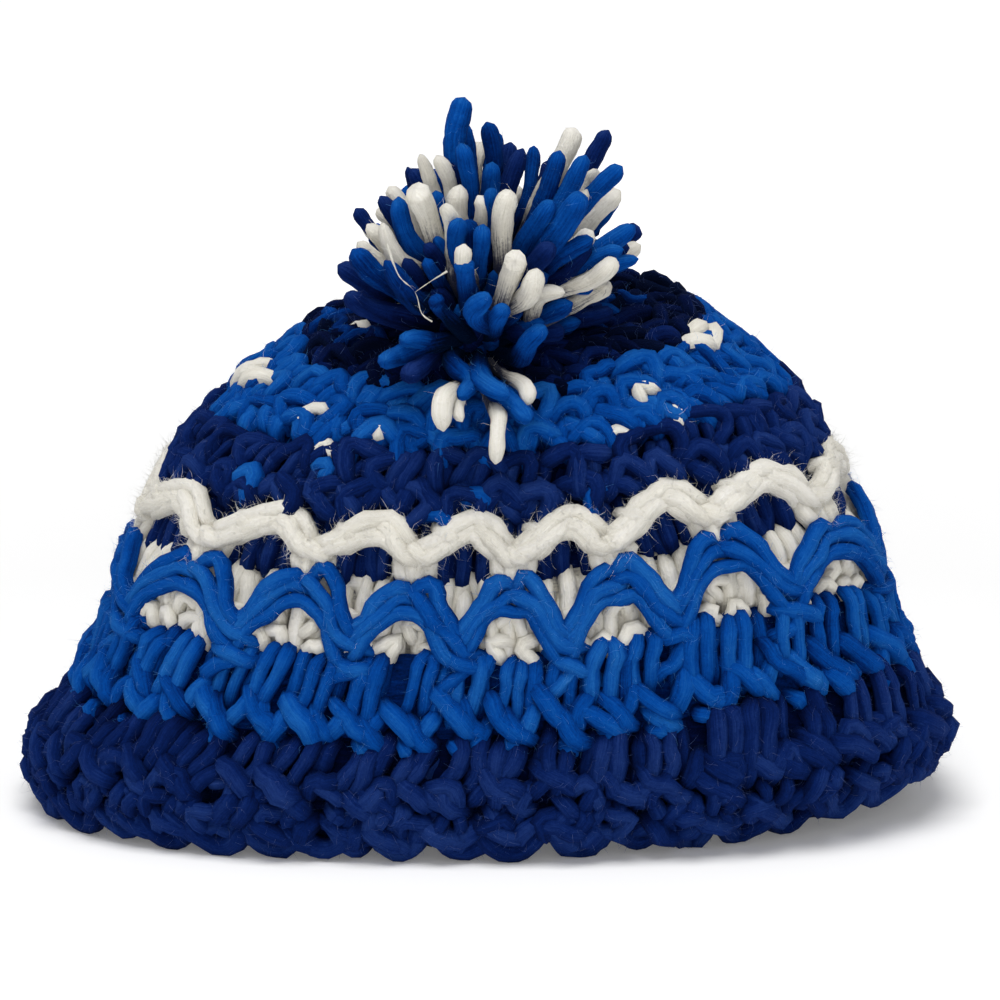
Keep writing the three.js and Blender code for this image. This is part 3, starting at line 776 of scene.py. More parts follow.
# The plain back of a stitch, inside the hat.
BACK_LEG: Strand = (
    StitchPoint(-0.02, -0.02, 0.0, 0.9),
    StitchPoint(0.18, 0.30, 0.5),
    StitchPoint(0.30, 0.70, 0.5),
    StitchPoint(0.50, 1.00, 0.0, 0.9),
    StitchPoint(0.72, 0.72, 0.5),
    StitchPoint(0.82, 0.30, 0.5),
    StitchPoint(1.00, -0.02, 0.0, 0.9),
)
PLAIN_STITCH = ((POST_LEGS, 0.95), (FOOT_OVER, 1.12), (FOOT_UNDER, 1.12), (FOOT_BACK, 1.1))
POST_STITCH = PLAIN_STITCH + ((LOOP_TIP, 1.0), (BETWEEN_LEG, 1.05))
FINGER_STITCH = ((FINGER, 1.0),)
EDGE_STITCH = ((EDGE_LOOP, 1.15),)

# One repeat of the ivory chain: two strands up the long rise, two over the crest, two lobes and four roots.
IVORY_CHAIN: tuple[Strand, ...] = (
    (
        StitchPoint(-0.08, -0.02, -3.0, 0.8),
        StitchPoint(0.04, 0.04, 0.2),
        StitchPoint(0.18, 0.20, 0.8, 1.1),
        StitchPoint(0.33, 0.44, 0.9, 1.1),
        StitchPoint(0.48, 0.68, 0.9, 1.05),
        StitchPoint(0.59, 0.80, 0.3),
        StitchPoint(0.68, 0.78, -1.6, 0.9),
        StitchPoint(0.72, 0.72, -3.5, 0.8),
    ),
    (
        StitchPoint(-0.04, 0.24, -3.0, 0.8),
        StitchPoint(0.08, 0.30, 0.2),
        StitchPoint(0.20, 0.48, 0.6, 1.1),
        StitchPoint(0.34, 0.74, 0.8, 1.1),
        StitchPoint(0.48, 0.96, 0.9, 1.1),
        StitchPoint(0.60, 1.06, 0.8, 1.1),
        StitchPoint(0.72, 1.02, 0.6, 1.1),
        StitchPoint(0.82, 0.82, 0.5, 1.1),
        StitchPoint(0.90, 0.56, 0.2),
        StitchPoint(0.96, 0.36, -1.2, 0.9),
        StitchPoint(1.00, 0.26, -3.0, 0.8),
    ),
    (
        StitchPoint(0.50, 0.88, -2.5, 0.8),
        StitchPoint(0.61, 0.84, 0.8),
        StitchPoint(0.71, 0.70, 1.3, 1.1),
        StitchPoint(0.79, 0.44, 1.5, 1.1),
        StitchPoint(0.88, 0.18, 1.2, 1.1),
        StitchPoint(0.98, 0.00, 0.4),
        StitchPoint(1.08, -0.06, -2.5, 0.8),
    ),
    (
        StitchPoint(-0.10, 0.26, -2.5, 0.8),
        StitchPoint(-0.03, 0.17, 0.8),
        StitchPoint(0.05, 0.06, 1.3, 1.1),
        StitchPoint(0.12, 0.00, 0.2),
        StitchPoint(0.15, -0.04, -3.0, 0.8),
    ),
    (
        StitchPoint(0.18, 0.78, -2.5, 0.8),
        StitchPoint(0.25, 0.71, 0.8),
        StitchPoint(0.33, 0.58, 1.6, 1.1),
        StitchPoint(0.40, 0.49, 0.6),
        StitchPoint(0.43, 0.44, -3.0, 0.8),
    ),
    (
        StitchPoint(0.20, 0.12, -3.5, 0.8),
        StitchPoint(0.30, 0.27, -0.2),
        StitchPoint(0.42, 0.47, 0.4, 1.05),
        StitchPoint(0.54, 0.62, 0.5, 1.05),
        StitchPoint(0.64, 0.60, 0.6, 1.05),
        StitchPoint(0.72, 0.42, 0.5, 1.05),
        StitchPoint(0.79, 0.20, 0.0),
        StitchPoint(0.83, 0.06, -3.5, 0.8),
    ),
    (
        StitchPoint(-0.15, 0.10, -2.2, 0.9),
        StitchPoint(-0.13, -0.20, -1.4, 1.1),
        StitchPoint(-0.09, -0.48, -2.0),
        StitchPoint(-0.06, -0.64, -4.0, 0.8),
    ),
    (
        StitchPoint(-0.05, 0.06, -2.0, 0.9),
        StitchPoint(-0.04, -0.22, -0.9, 1.1),
        StitchPoint(-0.02, -0.50, -1.6),
        StitchPoint(-0.01, -0.68, -4.0, 0.8),
    ),
    (
        StitchPoint(0.06, 0.02, -2.0, 0.9),
        StitchPoint(0.06, -0.22, -1.1, 1.1),
        StitchPoint(0.05, -0.52, -1.8),
        StitchPoint(0.04, -0.68, -4.0, 0.8),
    ),
    (
        StitchPoint(0.18, 0.08, -2.4, 0.9),
        StitchPoint(0.16, -0.18, -1.6, 1.1),
        StitchPoint(0.12, -0.46, -2.2),
        StitchPoint(0.09, -0.62, -4.0, 0.8),
    ),
)
# One repeat of the royal chain: a dome over the window, two strands up to the left ear, two down from the
# right one, and two leaves below the low turn.
ROYAL_CHAIN: tuple[Strand, ...] = (
    (
        StitchPoint(-0.02, -0.18, -3.5, 0.7),
        StitchPoint(0.08, -0.02, 0.2),
        StitchPoint(0.16, 0.24, 0.7, 1.05),
        StitchPoint(0.26, 0.50, 0.8, 1.05),
        StitchPoint(0.39, 0.65, 0.8, 1.05),
        StitchPoint(0.54, 0.68, 0.8, 1.05),
        StitchPoint(0.68, 0.61, 0.9, 1.05),
        StitchPoint(0.78, 0.42, 1.0, 1.05),
        StitchPoint(0.85, 0.16, 1.2, 1.05),
        StitchPoint(0.94, -0.02, 1.0),
        StitchPoint(1.05, -0.12, -0.4, 0.9),
        StitchPoint(1.12, -0.16, -3.5, 0.7),
    ),
    (
        StitchPoint(-0.08, 0.04, -3.0, 0.8),
        StitchPoint(0.04, 0.16, 0.3),
        StitchPoint(0.15, 0.43, 0.9, 1.05),
        StitchPoint(0.27, 0.69, 1.1, 1.1),
        StitchPoint(0.40, 0.84, 1.0, 1.05),
        StitchPoint(0.52, 0.86, 0.4),
        StitchPoint(0.62, 0.80, -1.2, 0.9),
        StitchPoint(0.68, 0.74, -3.5, 0.7),
    ),
    (
        StitchPoint(-0.10, 0.26, -3.0, 0.8),
        StitchPoint(0.02, 0.32, 0.2),
        StitchPoint(0.12, 0.53, 0.6, 1.05),
        StitchPoint(0.23, 0.81, 0.8, 1.1),
        StitchPoint(0.33, 1.00, 0.9, 1.1),
        StitchPoint(0.43, 1.05, 0.5, 1.05),
        StitchPoint(0.51, 0.98, -0.8, 0.9),
        StitchPoint(0.55, 0.88, -3.5, 0.7),
    ),
    (
        StitchPoint(0.54, 0.84, -3.5, 0.7),
        StitchPoint(0.57, 0.98, -0.6, 0.95),
        StitchPoint(0.64, 1.09, 0.5, 1.05),
        StitchPoint(0.74, 1.05, 0.9, 1.1),
        StitchPoint(0.82, 0.85, 1.0, 1.1),
        StitchPoint(0.89, 0.59, 1.1, 1.1),
        StitchPoint(0.98, 0.37, 1.0, 1.05),
        StitchPoint(1.10, 0.24, -0.5, 0.9),
        StitchPoint(1.18, 0.16, -3.5, 0.7),
    ),
    (
        StitchPoint(0.42, 0.95, -3.5, 0.7),
        StitchPoint(0.53, 0.93, 0.2),
        StitchPoint(0.65, 0.84, 1.3, 1.1),
        StitchPoint(0.76, 0.66, 1.7, 1.15),
        StitchPoint(0.85, 0.42, 1.7, 1.1),
        StitchPoint(0.96, 0.22, 1.5, 1.1),
        StitchPoint(1.08, 0.10, 0.8),
        StitchPoint(1.20, 0.02, -1.0, 0.9),
        StitchPoint(1.28, -0.02, -3.5, 0.7),
    ),
    (
        StitchPoint(0.82, 0.02, -3.5, 0.7),
        StitchPoint(0.92, -0.07, 0.5),
        StitchPoint(1.05, -0.14, 1.2, 1.15),
        StitchPoint(1.19, -0.19, 0.5, 1.05),
        StitchPoint(1.28, -0.22, -3.5, 0.7),
    ),
    (
        StitchPoint(0.20, 0.00, -3.5, 0.7),
        StitchPoint(0.10, -0.16, 0.0),
        StitchPoint(-0.02, -0.28, 0.4, 1.1),
        StitchPoint(-0.12, -0.36, -0.2),
        StitchPoint(-0.18, -0.40, -3.5, 0.7),
    ),
)


@dataclass
class CrochetRound:
    """One round of stitches between two levels of the hat."""

    form: HatForm
    low: float
    high: float
    stitches: int
    yarn: Yarn
    pattern: tuple[tuple[Strand, float], ...] = POST_STITCH
    depth: float = -2.4
    strand_radius: float = 2.0
    unevenness: float = 1.2
    seed: int = 1
    shades: tuple[float, float] = (0.1, 0.9)
    sunk_shade: float = 0.3
    wall_columns: int = 96
    inside_depth: float = -8.0
    inside_stitches: int = 34

    def lay_strand(self, strands: StrandSet, strand: Strand, stitches: int, depth: float, swell: float,
                   rng: np.random.Generator, fuzz: float = 1.0, pitch: float = 1.0) -> None:
        """Lays one strand of the stitch all the way round.

        Args:
            strands: the set that gets the strands.
            strand: the strand's control points.
            stitches: stitches in the round.
            depth: millimetres from the form to the middle of a strand.
            swell: share of the round's strand radius.
            rng: source of the hand-made unevenness.
            fuzz: how many stray fibres the strands have.
            pitch: length of their segments, as a share of the piece's step.
        """
        along, up, out, thick = np.array([[p.along, p.up, p.out, p.thick] for p in strand]).T
        shape = (stitches, len(strand))
        wander = self.unevenness
        slip = rng.normal(0, 0.07 * wander, (stitches, 1)) + rng.normal(0, 0.03 * wander, shape)
        lift = rng.normal(0, 0.05 * wander, (stitches, 1)) + rng.normal(0, 0.02 * wander, shape)
        stand = rng.normal(0, 0.4 * wander, (stitches, 1)) + rng.normal(0, 0.2 * wander, shape)
        share = (np.arange(stitches)[:, None] + along + slip) / stitches
        level = self.low + (self.high - self.low) * (up + lift)
        points = self.form.raised(share, level, depth + out + stand)
        radii = self.strand_radius * swell * thick * (1 + rng.normal(0, 0.09 * wander, (stitches, 1)))
        # Strand parts that dive into the fabric are painted darker the deeper they go: painted shade.
        sunk_shade = self.sunk_shade * np.minimum(out, 0)
        for path, radius in zip(points, radii):
            strands.add(path, radius, self.yarn, rng.uniform(*self.shades) + sunk_shade, fuzz, pitch)

    def lay(self, strands: StrandSet, inside: bool = True) -> None:
        """Adds the round's stitches and, if asked, the wall behind them and its inner face.

        Args:
            strands: the set that gets the stitches.
            inside: whether the wall and the inner face are added.
        """
        rng = np.random.default_rng(self.seed)
        for strand, swell in self.pattern:
            self.lay_strand(strands, strand, self.stitches, self.depth, swell, rng)
        if inside:
            self.lay_strand(strands, BACK_LEG, self.inside_stitches, self.inside_depth, 1.2, rng, 0.05, 2.2)
            self.lay_wall(strands)

    def lay_wall(self, strands: StrandSet) -> None:
        """Adds the closed ring of fabric between the faces of the stitches.

        Args:
            strands: the set that gets the wall.
        """
        share = np.arange(self.wall_columns)[:, None] / self.wall_columns
        up = np.array([-0.06, 0.35, 0.65, 1.06, 1.06, 0.5, -0.06])
        front = max(min(self.depth - 2.2, -4.6), self.inside_depth + 0.8)
        out = np.array([front] * 4 + [self.inside_depth] * 3)
        level = self.low + (self.high - self.low) * up
        strands.add_wall(self.form.raised(share, level[None], out[None]), self.yarn)


@dataclass
class ZigzagChain:
    """A raised crochet chain that zigzags round the hat, one repeat of strands after another."""

    form: HatForm
    low: float
    high: float
    phase: float
    yarn: Yarn
    pattern: tuple[Strand, ...]
    lean: float = 0.62
    strand_radius: float = 2.3
    depth: float = -2.2
    seed: int = 1

    def lay(self, strands: StrandSet) -> None:
        """Adds every strand of every repeat; a repeat runs from one low turn to the next.

        Args:
            strands: the set that gets the chain.
        """
        rng = np.random.default_rng(self.seed)
        repeats = self.form.zigzag_repeats
        stretch = rng.normal(1.0, 0.06, (repeats, 1))
        for strand in self.pattern:
            along, up, out, thick = np.array([[p.along, p.up, p.out, p.thick] for p in strand]).T
            shape = (repeats, len(strand))
            turn = np.arange(repeats)[:, None] + 1 - self.lean + along + rng.normal(0, 0.012, shape)
            level = self.low + (self.high - self.low) * (up * stretch + rng.normal(0, 0.03, shape))
            stand = self.depth + out + rng.normal(0, 0.2, shape)
            points = self.form.raised(self.form.share_at(turn, self.phase), level, stand)
            radii = self.strand_radius * thick * (1 + rng.normal(0, 0.06, (repeats, 1)))
            for path, radius in zip(points, radii):
                strands.add(path, radius, self.yarn, rng.uniform(0.3, 0.9), 1.4)


@dataclass
class YarnLoops:
    """Loose loops of yarn on the hat: tangled rounds of the crown, or single specks of another yarn."""

    form: HatForm
    yarn: Yarn
    width: tuple[float, float] = (9.0, 13.0)
    height: tuple[float, float] = (7.0, 11.0)
    tilt: float = 0.8
    depth: float = -2.0
    strand_radius: float = 1.85
    seed: int = 1
    shades: tuple[float, float] = (0.1, 0.9)

    def add_loop(self, strands: StrandSet, share: float, level: float, rng: np.random.Generator) -> None:
        """Adds one arched loop that dives back into the fabric at both ends.

        Args:
            strands: the set that gets the loop.
            share: share of the way round of its middle.
            level: level of its middle.
            rng: source of its size and tilt.
        """
        width, height = rng.uniform(*self.width), rng.uniform(*self.height)
        angle = rng.uniform(-self.tilt, self.tilt)
        across = width * np.array([-0.50, -0.38, -0.12, 0.16, 0.40, 0.50])
        up = height * np.array([-0.50, -0.02, 0.40, 0.38, -0.05, -0.50]) + rng.normal(0, 0.9, 6)
        out = np.array([-4.0, 0.2, 0.9, 1.0, 0.3, -4.0]) + rng.normal(0, 0.3, 6)
        turned = across * math.cos(angle) - up * math.sin(angle)
        lifted = across * math.sin(angle) + up * math.cos(angle)
        girth, rise = self.form.scales(share, level)
        path = self.form.raised(share + turned / girth, level + lifted / rise, self.depth + out)
        radius = self.strand_radius * np.array([0.75, 1.0, 1.08, 1.08, 1.0, 0.75]) * rng.normal(1.0, 0.08)
        strands.add(path, radius, self.yarn, rng.uniform(*self.shades))

    def lay_round(self, strands: StrandSet, low: float, high: float, count: int, rows: int) -> None:
        """Adds staggered rows of loops between two levels.

        Args:
            strands: the set that gets the loops.
            low: lower level.
            high: upper level.
            count: loops in each row.
            rows: rows of loops.
        """
        rng = np.random.default_rng(self.seed)
        for row in range(rows):
            for i in range(count):
                share = (i + 0.5 * (row % 2) + rng.normal(0, 0.14)) / count
                level = low + (high - low) * (row + 0.5 + rng.normal(0, 0.12)) / rows
                self.add_loop(strands, share, level, rng)

    def lay_bars(self, strands: StrandSet, bars: tuple[tuple[float, float, float, float], ...]) -> None:
        """Adds straight strands on the fabric that dive in at both ends.

        Args:
            strands: the set that gets the strands.
            bars: for each, the twentieth of the way round and the level of its start and of its end.
        """
        rng = np.random.default_rng(self.seed)
        t = np.array([0.0, 0.12, 0.35, 0.65, 0.88, 1.0])
        out = self.depth + np.array([-4.5, -0.4, 0.9, 1.0, -0.2, -4.5])
        thick = self.strand_radius * np.array([0.75, 0.95, 1.1, 1.1, 0.95, 0.75])
        for start, low, end, high in bars:
            level = low + (high - low) * t + rng.normal(0, 0.02, 6)
            path = self.form.raised((start + (end - start) * t) / 20, level, out)
            strands.add(path, thick, self.yarn, rng.uniform(*self.shades))

    def lay_specks(self, strands: StrandSet, places: tuple[tuple[float, float], ...]) -> None:
        """Adds one loop at each place.

        Args:
            strands: the set that gets the loops.
            places: twentieths of the way round and level of each loop.
        """
        rng = np.random.default_rng(self.seed)
        for twentieth, level in places:
            self.add_loop(strands, twentieth / 20, level, rng)


@dataclass(frozen=True)
class YarnEnd:
    """A yarn end of the pompom: its yarn, its tip, how its middle bows, its radius and its shade."""

    yarn: Yarn
    tip: tuple[float, float, float]
    bow: tuple[float, float, float] = (0.0, 0.0, 0.0)
    radius: float = 2.1
    shade: float = 0.8


PLACED_ENDS = (
    YarnEnd(Yarn.ROYAL, (-5, -22, 183), (-3, 0, 4), 2.6),
    YarnEnd(Yarn.ROYAL, (-6, -36, 173)),
    YarnEnd(Yarn.IVORY, (-16, -30, 170), radius=2.0),
    YarnEnd(Yarn.IVORY, (-12, -34, 170), radius=2.0),
    YarnEnd(Yarn.NAVY, (6, -20, 172), radius=2.8),
    YarnEnd(Yarn.NAVY, (9, -28, 171)),
    YarnEnd(Yarn.IVORY, (22, -14, 175), radius=2.9),
    YarnEnd(Yarn.NAVY, (30, -20, 175)),
    YarnEnd(Yarn.ROYAL, (24, -34, 170), radius=2.7),
    YarnEnd(Yarn.IVORY, (27, -26, 166)),
    YarnEnd(Yarn.ROYAL, (33, -30, 167)),
    YarnEnd(Yarn.IVORY, (33, -20, 160), radius=2.8),
    YarnEnd(Yarn.ROYAL, (23, -46, 162), radius=3.1),
    YarnEnd(Yarn.IVORY, (26, -36, 152)),
    YarnEnd(Yarn.ROYAL, (36, -34, 153), radius=2.6),
    YarnEnd(Yarn.ROYAL, (33, -40, 148)),
    YarnEnd(Yarn.IVORY, (31, -42, 146), radius=2.2),
    YarnEnd(Yarn.ROYAL, (37, -34, 145), radius=2.1),
    YarnEnd(Yarn.IVORY, (19, -44, 138), radius=2.0),
    YarnEnd(Yarn.NAVY, (-26, -22, 159)),
    YarnEnd(Yarn.IVORY, (-24, -18, 161)),
    YarnEnd(Yarn.NAVY, (-18, -26, 166)),
    YarnEnd(Yarn.ROYAL, (-21, -34, 160), radius=2.6),
    YarnEnd(Yarn.IVORY, (-17, -44, 163), radius=2.9),
    YarnEnd(Yarn.IVORY, (-10, -48, 159)),
    YarnEnd(Yarn.ROYAL, (-12, -38, 162)),
    YarnEnd(Yarn.IVORY, (-6, -38, 163), radius=2.5),
    YarnEnd(Yarn.IVORY, (-2, -42, 161)),
    YarnEnd(Yarn.ROYAL, (1.5, -34, 168)),
    YarnEnd(Yarn.ROYAL, (1.5, -44, 163)),
    YarnEnd(Yarn.ROYAL, (-0.5, -50, 155)),
    YarnEnd(Yarn.ROYAL, (-6, -50, 156)),
    YarnEnd(Yarn.IVORY, (-5, -56, 151), (0, -5, 4)),
    YarnEnd(Yarn.ROYAL, (-5, -57, 147), (0, -6, 3), 2.6),
    YarnEnd(Yarn.IVORY, (6, -49, 163), (2, -5, 0), 2.5),
    YarnEnd(Yarn.IVORY, (7, -55, 147), (2, -6, 0), 2.5),
    YarnEnd(Yarn.IVORY, (12, -54, 145), (3, -6, -2), 2.4),
    YarnEnd(Yarn.ROYAL, (1, -57, 139), (1, -6, 0), 2.7),
    YarnEnd(Yarn.ROYAL, (5, -55, 136), (2, -5, 0)),
    YarnEnd(Yarn.NAVY, (-32, -22, 156)),
    YarnEnd(Yarn.IVORY, (-25, -36, 154)),
    YarnEnd(Yarn.IVORY, (-29, -30, 153)),
    YarnEnd(Yarn.IVORY, (-31, -34, 149)),
    # Ends here with a shade of 0 or less, low on the left and front of the pompom, are painted darker:
    # painted shadow.
    YarnEnd(Yarn.ROYAL, (-32, -40, 148), radius=2.6, shade=0.0),
    YarnEnd(Yarn.NAVY, (-36, -30, 143), radius=2.6),
    YarnEnd(Yarn.ROYAL, (-24, -46, 146), (-2, -3, 0), 2.5, -0.3),
    YarnEnd(Yarn.NAVY, (-33, -42, 137), radius=2.8),
    YarnEnd(Yarn.ROYAL, (-11, -52, 137), (-1, -4, 0), 2.0, 0.0),
    YarnEnd(Yarn.ROYAL, (16, -44, 160), radius=2.7),
    YarnEnd(Yarn.NAVY, (16, -46, 150), radius=2.6),
    YarnEnd(Yarn.ROYAL, (-24, -50, 122.5), (-3, -4, 3), 2.5),
    YarnEnd(Yarn.ROYAL, (-20, -48, 127), (-4, -5, 1), 2.4),
    YarnEnd(Yarn.NAVY, (-19, -50, 119), (-4, -4, 2), 2.4),
    YarnEnd(Yarn.ROYAL, (14, -51, 131), (6, -8, -8), 2.6),
    YarnEnd(Yarn.ROYAL, (5.5, -56, 115), (-6, -9, 0), 2.6),
    YarnEnd(Yarn.ROYAL, (10.5, -56, 109), (-4, -10, -1), 2.5),
    YarnEnd(Yarn.ROYAL, (-6.5, -54, 114.5), (-3, -8, 2), 2.3),
    YarnEnd(Yarn.IVORY, (-10, -56, 106.5), (-2, -10, 5), 2.4),
    YarnEnd(Yarn.IVORY, (-5.5, -55, 108.5), (0, -9, 5), 1.3),
    YarnEnd(Yarn.IVORY, (2.3, -58, 99), (5, -11, 5), 2.2),
    YarnEnd(Yarn.IVORY, (9.5, -52, 112), (4, -8, 3), 1.8),
)
# A loose thread of ivory fibre that hangs down the pompom.
LOOSE_THREAD = ((-23, -55, 151), (-20.5, -57, 144), (-16.5, -58, 140), (-15, -58, 135), (-12.5, -58, 133))
LOOSE_BRANCH = ((-16.5, -58, 140), (-13, -59, 142.5), (-9, -59, 145))


@dataclass
class Pompom:
    """The yarn ends tied at the gathered crown, fanning out to the surface of a ball."""

    form: HatForm
    tie: tuple[float, float, float] = (-3, -26, 123)
    ball_centre: tuple[float, float, float] = (2, -21, 149)
    ball_radii: tuple[float, float, float] = (36, 34, 29)
    ends: int = 170
    lowest: float = 0.05
    strand_radius: float = 2.1
    taper: float = 3.6
    waviness: float = 1.3
    dark_front: float = 0.3
    clear_of_placed: float = 0.996
    seed: int = 11
    yarn_shares: tuple[tuple[Yarn, float], ...] = ((Yarn.ROYAL, 0.42), (Yarn.NAVY, 0.36), (Yarn.IVORY, 0.22))
    root_painted_shade: float = 2.6
    fuzz: float = 0.8
    ground: np.ndarray = field(init=False)

    def __post_init__(self) -> None:
        """Samples the crown that the ends lie on."""
        share, level = np.meshgrid(np.linspace(0, 1, 120, endpoint=False), np.linspace(6.5, 11.9, 50))
        self.ground = self.form.point(share.ravel(), level.ravel())

    def crown_height(self, points: np.ndarray) -> np.ndarray:
        """Height of the crown nearest to each point, in millimetres."""
        gap = np.linalg.norm(points[:, None, :2] - self.ground[None, :, :2], axis=2)
        return self.ground[np.argmin(gap, axis=1), 2]

    def reach(self, way: np.ndarray) -> float:
        """Distance from the tie to the ball in one direction.

        Args:
            way: a unit direction.

        Returns:
            The distance in millimetres.
        """
        radii = np.array(self.ball_radii)
        start = (np.array(self.tie) - np.array(self.ball_centre)) / radii
        step = way / radii
        a, b, c = step @ step, start @ step, start @ start - 1
        return float((-b + math.sqrt(b * b - a * c)) / a)

    def add_end(self, strands: StrandSet, end: YarnEnd, rng: np.random.Generator) -> None:
        """Adds one yarn end from the tie to its tip, lying on the crown where it would cut into it.

        Args:
            strands: the set that gets the end.
            end: its yarn, tip, bow, radius and shade.
            rng: source of its waviness.
        """
        tip, tie = np.array(end.tip, float), np.array(self.tie)
        root = tie + (tip - tie) * (0.3 if end.yarn is Yarn.IVORY else 0.06)
        length = float(np.linalg.norm(tip - root))
        shoulder = max(0.4, 1 - self.taper / length)
        cap = shoulder + (1 - shoulder) * np.array([0.4, 0.7, 0.88, 1.0])
        t = np.concatenate([np.linspace(0, shoulder, 8), cap])
        middle = (root + tip) / 2 + np.array(end.bow)
        curve = t[:, None]
        path = root * (1 - curve) ** 2 + middle * 2 * curve * (1 - curve) + tip * curve ** 2
        path += rng.normal(0, self.waviness, 3) * np.sin(2 * math.pi * curve)
        point = np.clip((t - shoulder) / (1 - shoulder), 0, 1)
        radius = end.radius * (0.65 + 0.35 * smoothstep(0.0, 0.5, t)) * np.sqrt(1.01 - point ** 2)
        path[:, 2] = np.maximum(path[:, 2], self.crown_height(path) + radius * 0.8 - 1.5)
        radius *= 1 + 0.12 * np.sin(7 * t + rng.uniform(0, 2 * math.pi))
        # Each end is painted darker towards the tie, where the other ends shade it: painted shade.
        shade = end.shade - self.root_painted_shade * (1 - smoothstep(0.1, 0.85, t))
        strands.add(path, radius, end.yarn, shade, self.fuzz)

    def lay(self, strands: StrandSet) -> None:
        """Adds the fan of yarn ends, the listed ends and the loose thread.

        Args:
            strands: the set that gets them.
        """
        rng = np.random.default_rng(self.seed)
        yarns, weights = zip(*self.yarn_shares)
        golden = math.pi * (3 - math.sqrt(5))
        placed = np.array([end.tip for end in PLACED_ENDS]) - np.array(self.tie)
        placed /= np.linalg.norm(placed, axis=1, keepdims=True)
        for i in range(self.ends):
            up = self.lowest + (1 - self.lowest) * (i + 0.5) / self.ends
            flat = math.sqrt(1 - up * up)
            way = np.array([flat * math.cos(golden * i), flat * math.sin(golden * i), up])
            way = way + rng.normal(0, 0.08, 3)
            way /= np.linalg.norm(way)
            if np.max(placed @ way) > self.clear_of_placed:
                continue
            forward = max(0.0, -way[1])
            length = self.reach(way) * rng.uniform(0.85, 1.05) * (1 - 0.45 * forward)
            tip = np.array(self.tie) + way * length
            bow = rng.normal(0, 2.0, 3) + np.array([0, 0, 2.0])
            yarn = yarns[rng.choice(len(yarns), p=weights)]
            if forward > self.dark_front and yarn is Yarn.IVORY:
                yarn = Yarn.NAVY
            thick = self.strand_radius * rng.uniform(0.8, 1.15)
            self.add_end(strands, YarnEnd(yarn, tuple(tip), tuple(bow), thick, rng.uniform(0.0, 0.8)), rng)
        for end in PLACED_ENDS:
            self.add_end(strands, end, rng)
        for thread in (LOOSE_THREAD, LOOSE_BRANCH):
            strands.add(np.array(thread, float), 0.22, Yarn.IVORY, 0.6, 6.0)


@dataclass
class PompomTie:
    """The yarn wound and knotted under the crown that holds the pompom."""

    centre: tuple[float, float] = (-2.5, -21.5)
    top: float = 131.0
    knot: float = 104.0
    turns: float = 5.0

    def lay(self, strands: StrandSet) -> None:
        """Adds the wound post and the knot.

        Args:
            strands: the set that gets them.
        """
        t = np.linspace(0, 1, 60)
        radius = np.where(t < 0.35, 3.6 * np.sin(math.pi * np.clip(t / 0.35, 0.08, 0.92)) + 1.2, 1.8)
        angle = 2 * math.pi * self.turns * t
        path = np.stack([
            self.centre[0] + radius * np.cos(angle),
            self.centre[1] + radius * np.sin(angle),
            self.knot + (self.top - self.knot) * t,
        ], 1)
        strands.add(path, 2.0, Yarn.NAVY, 0.4, 0.3)
        post = np.array([[*self.centre, self.knot - 1.0], [*self.centre, (self.knot + self.top) / 2],
                         [*self.centre, self.top]])
        strands.add(post, np.array([1.5, 2.4, 1.2]), Yarn.NAVY, 0.4, 0.0)


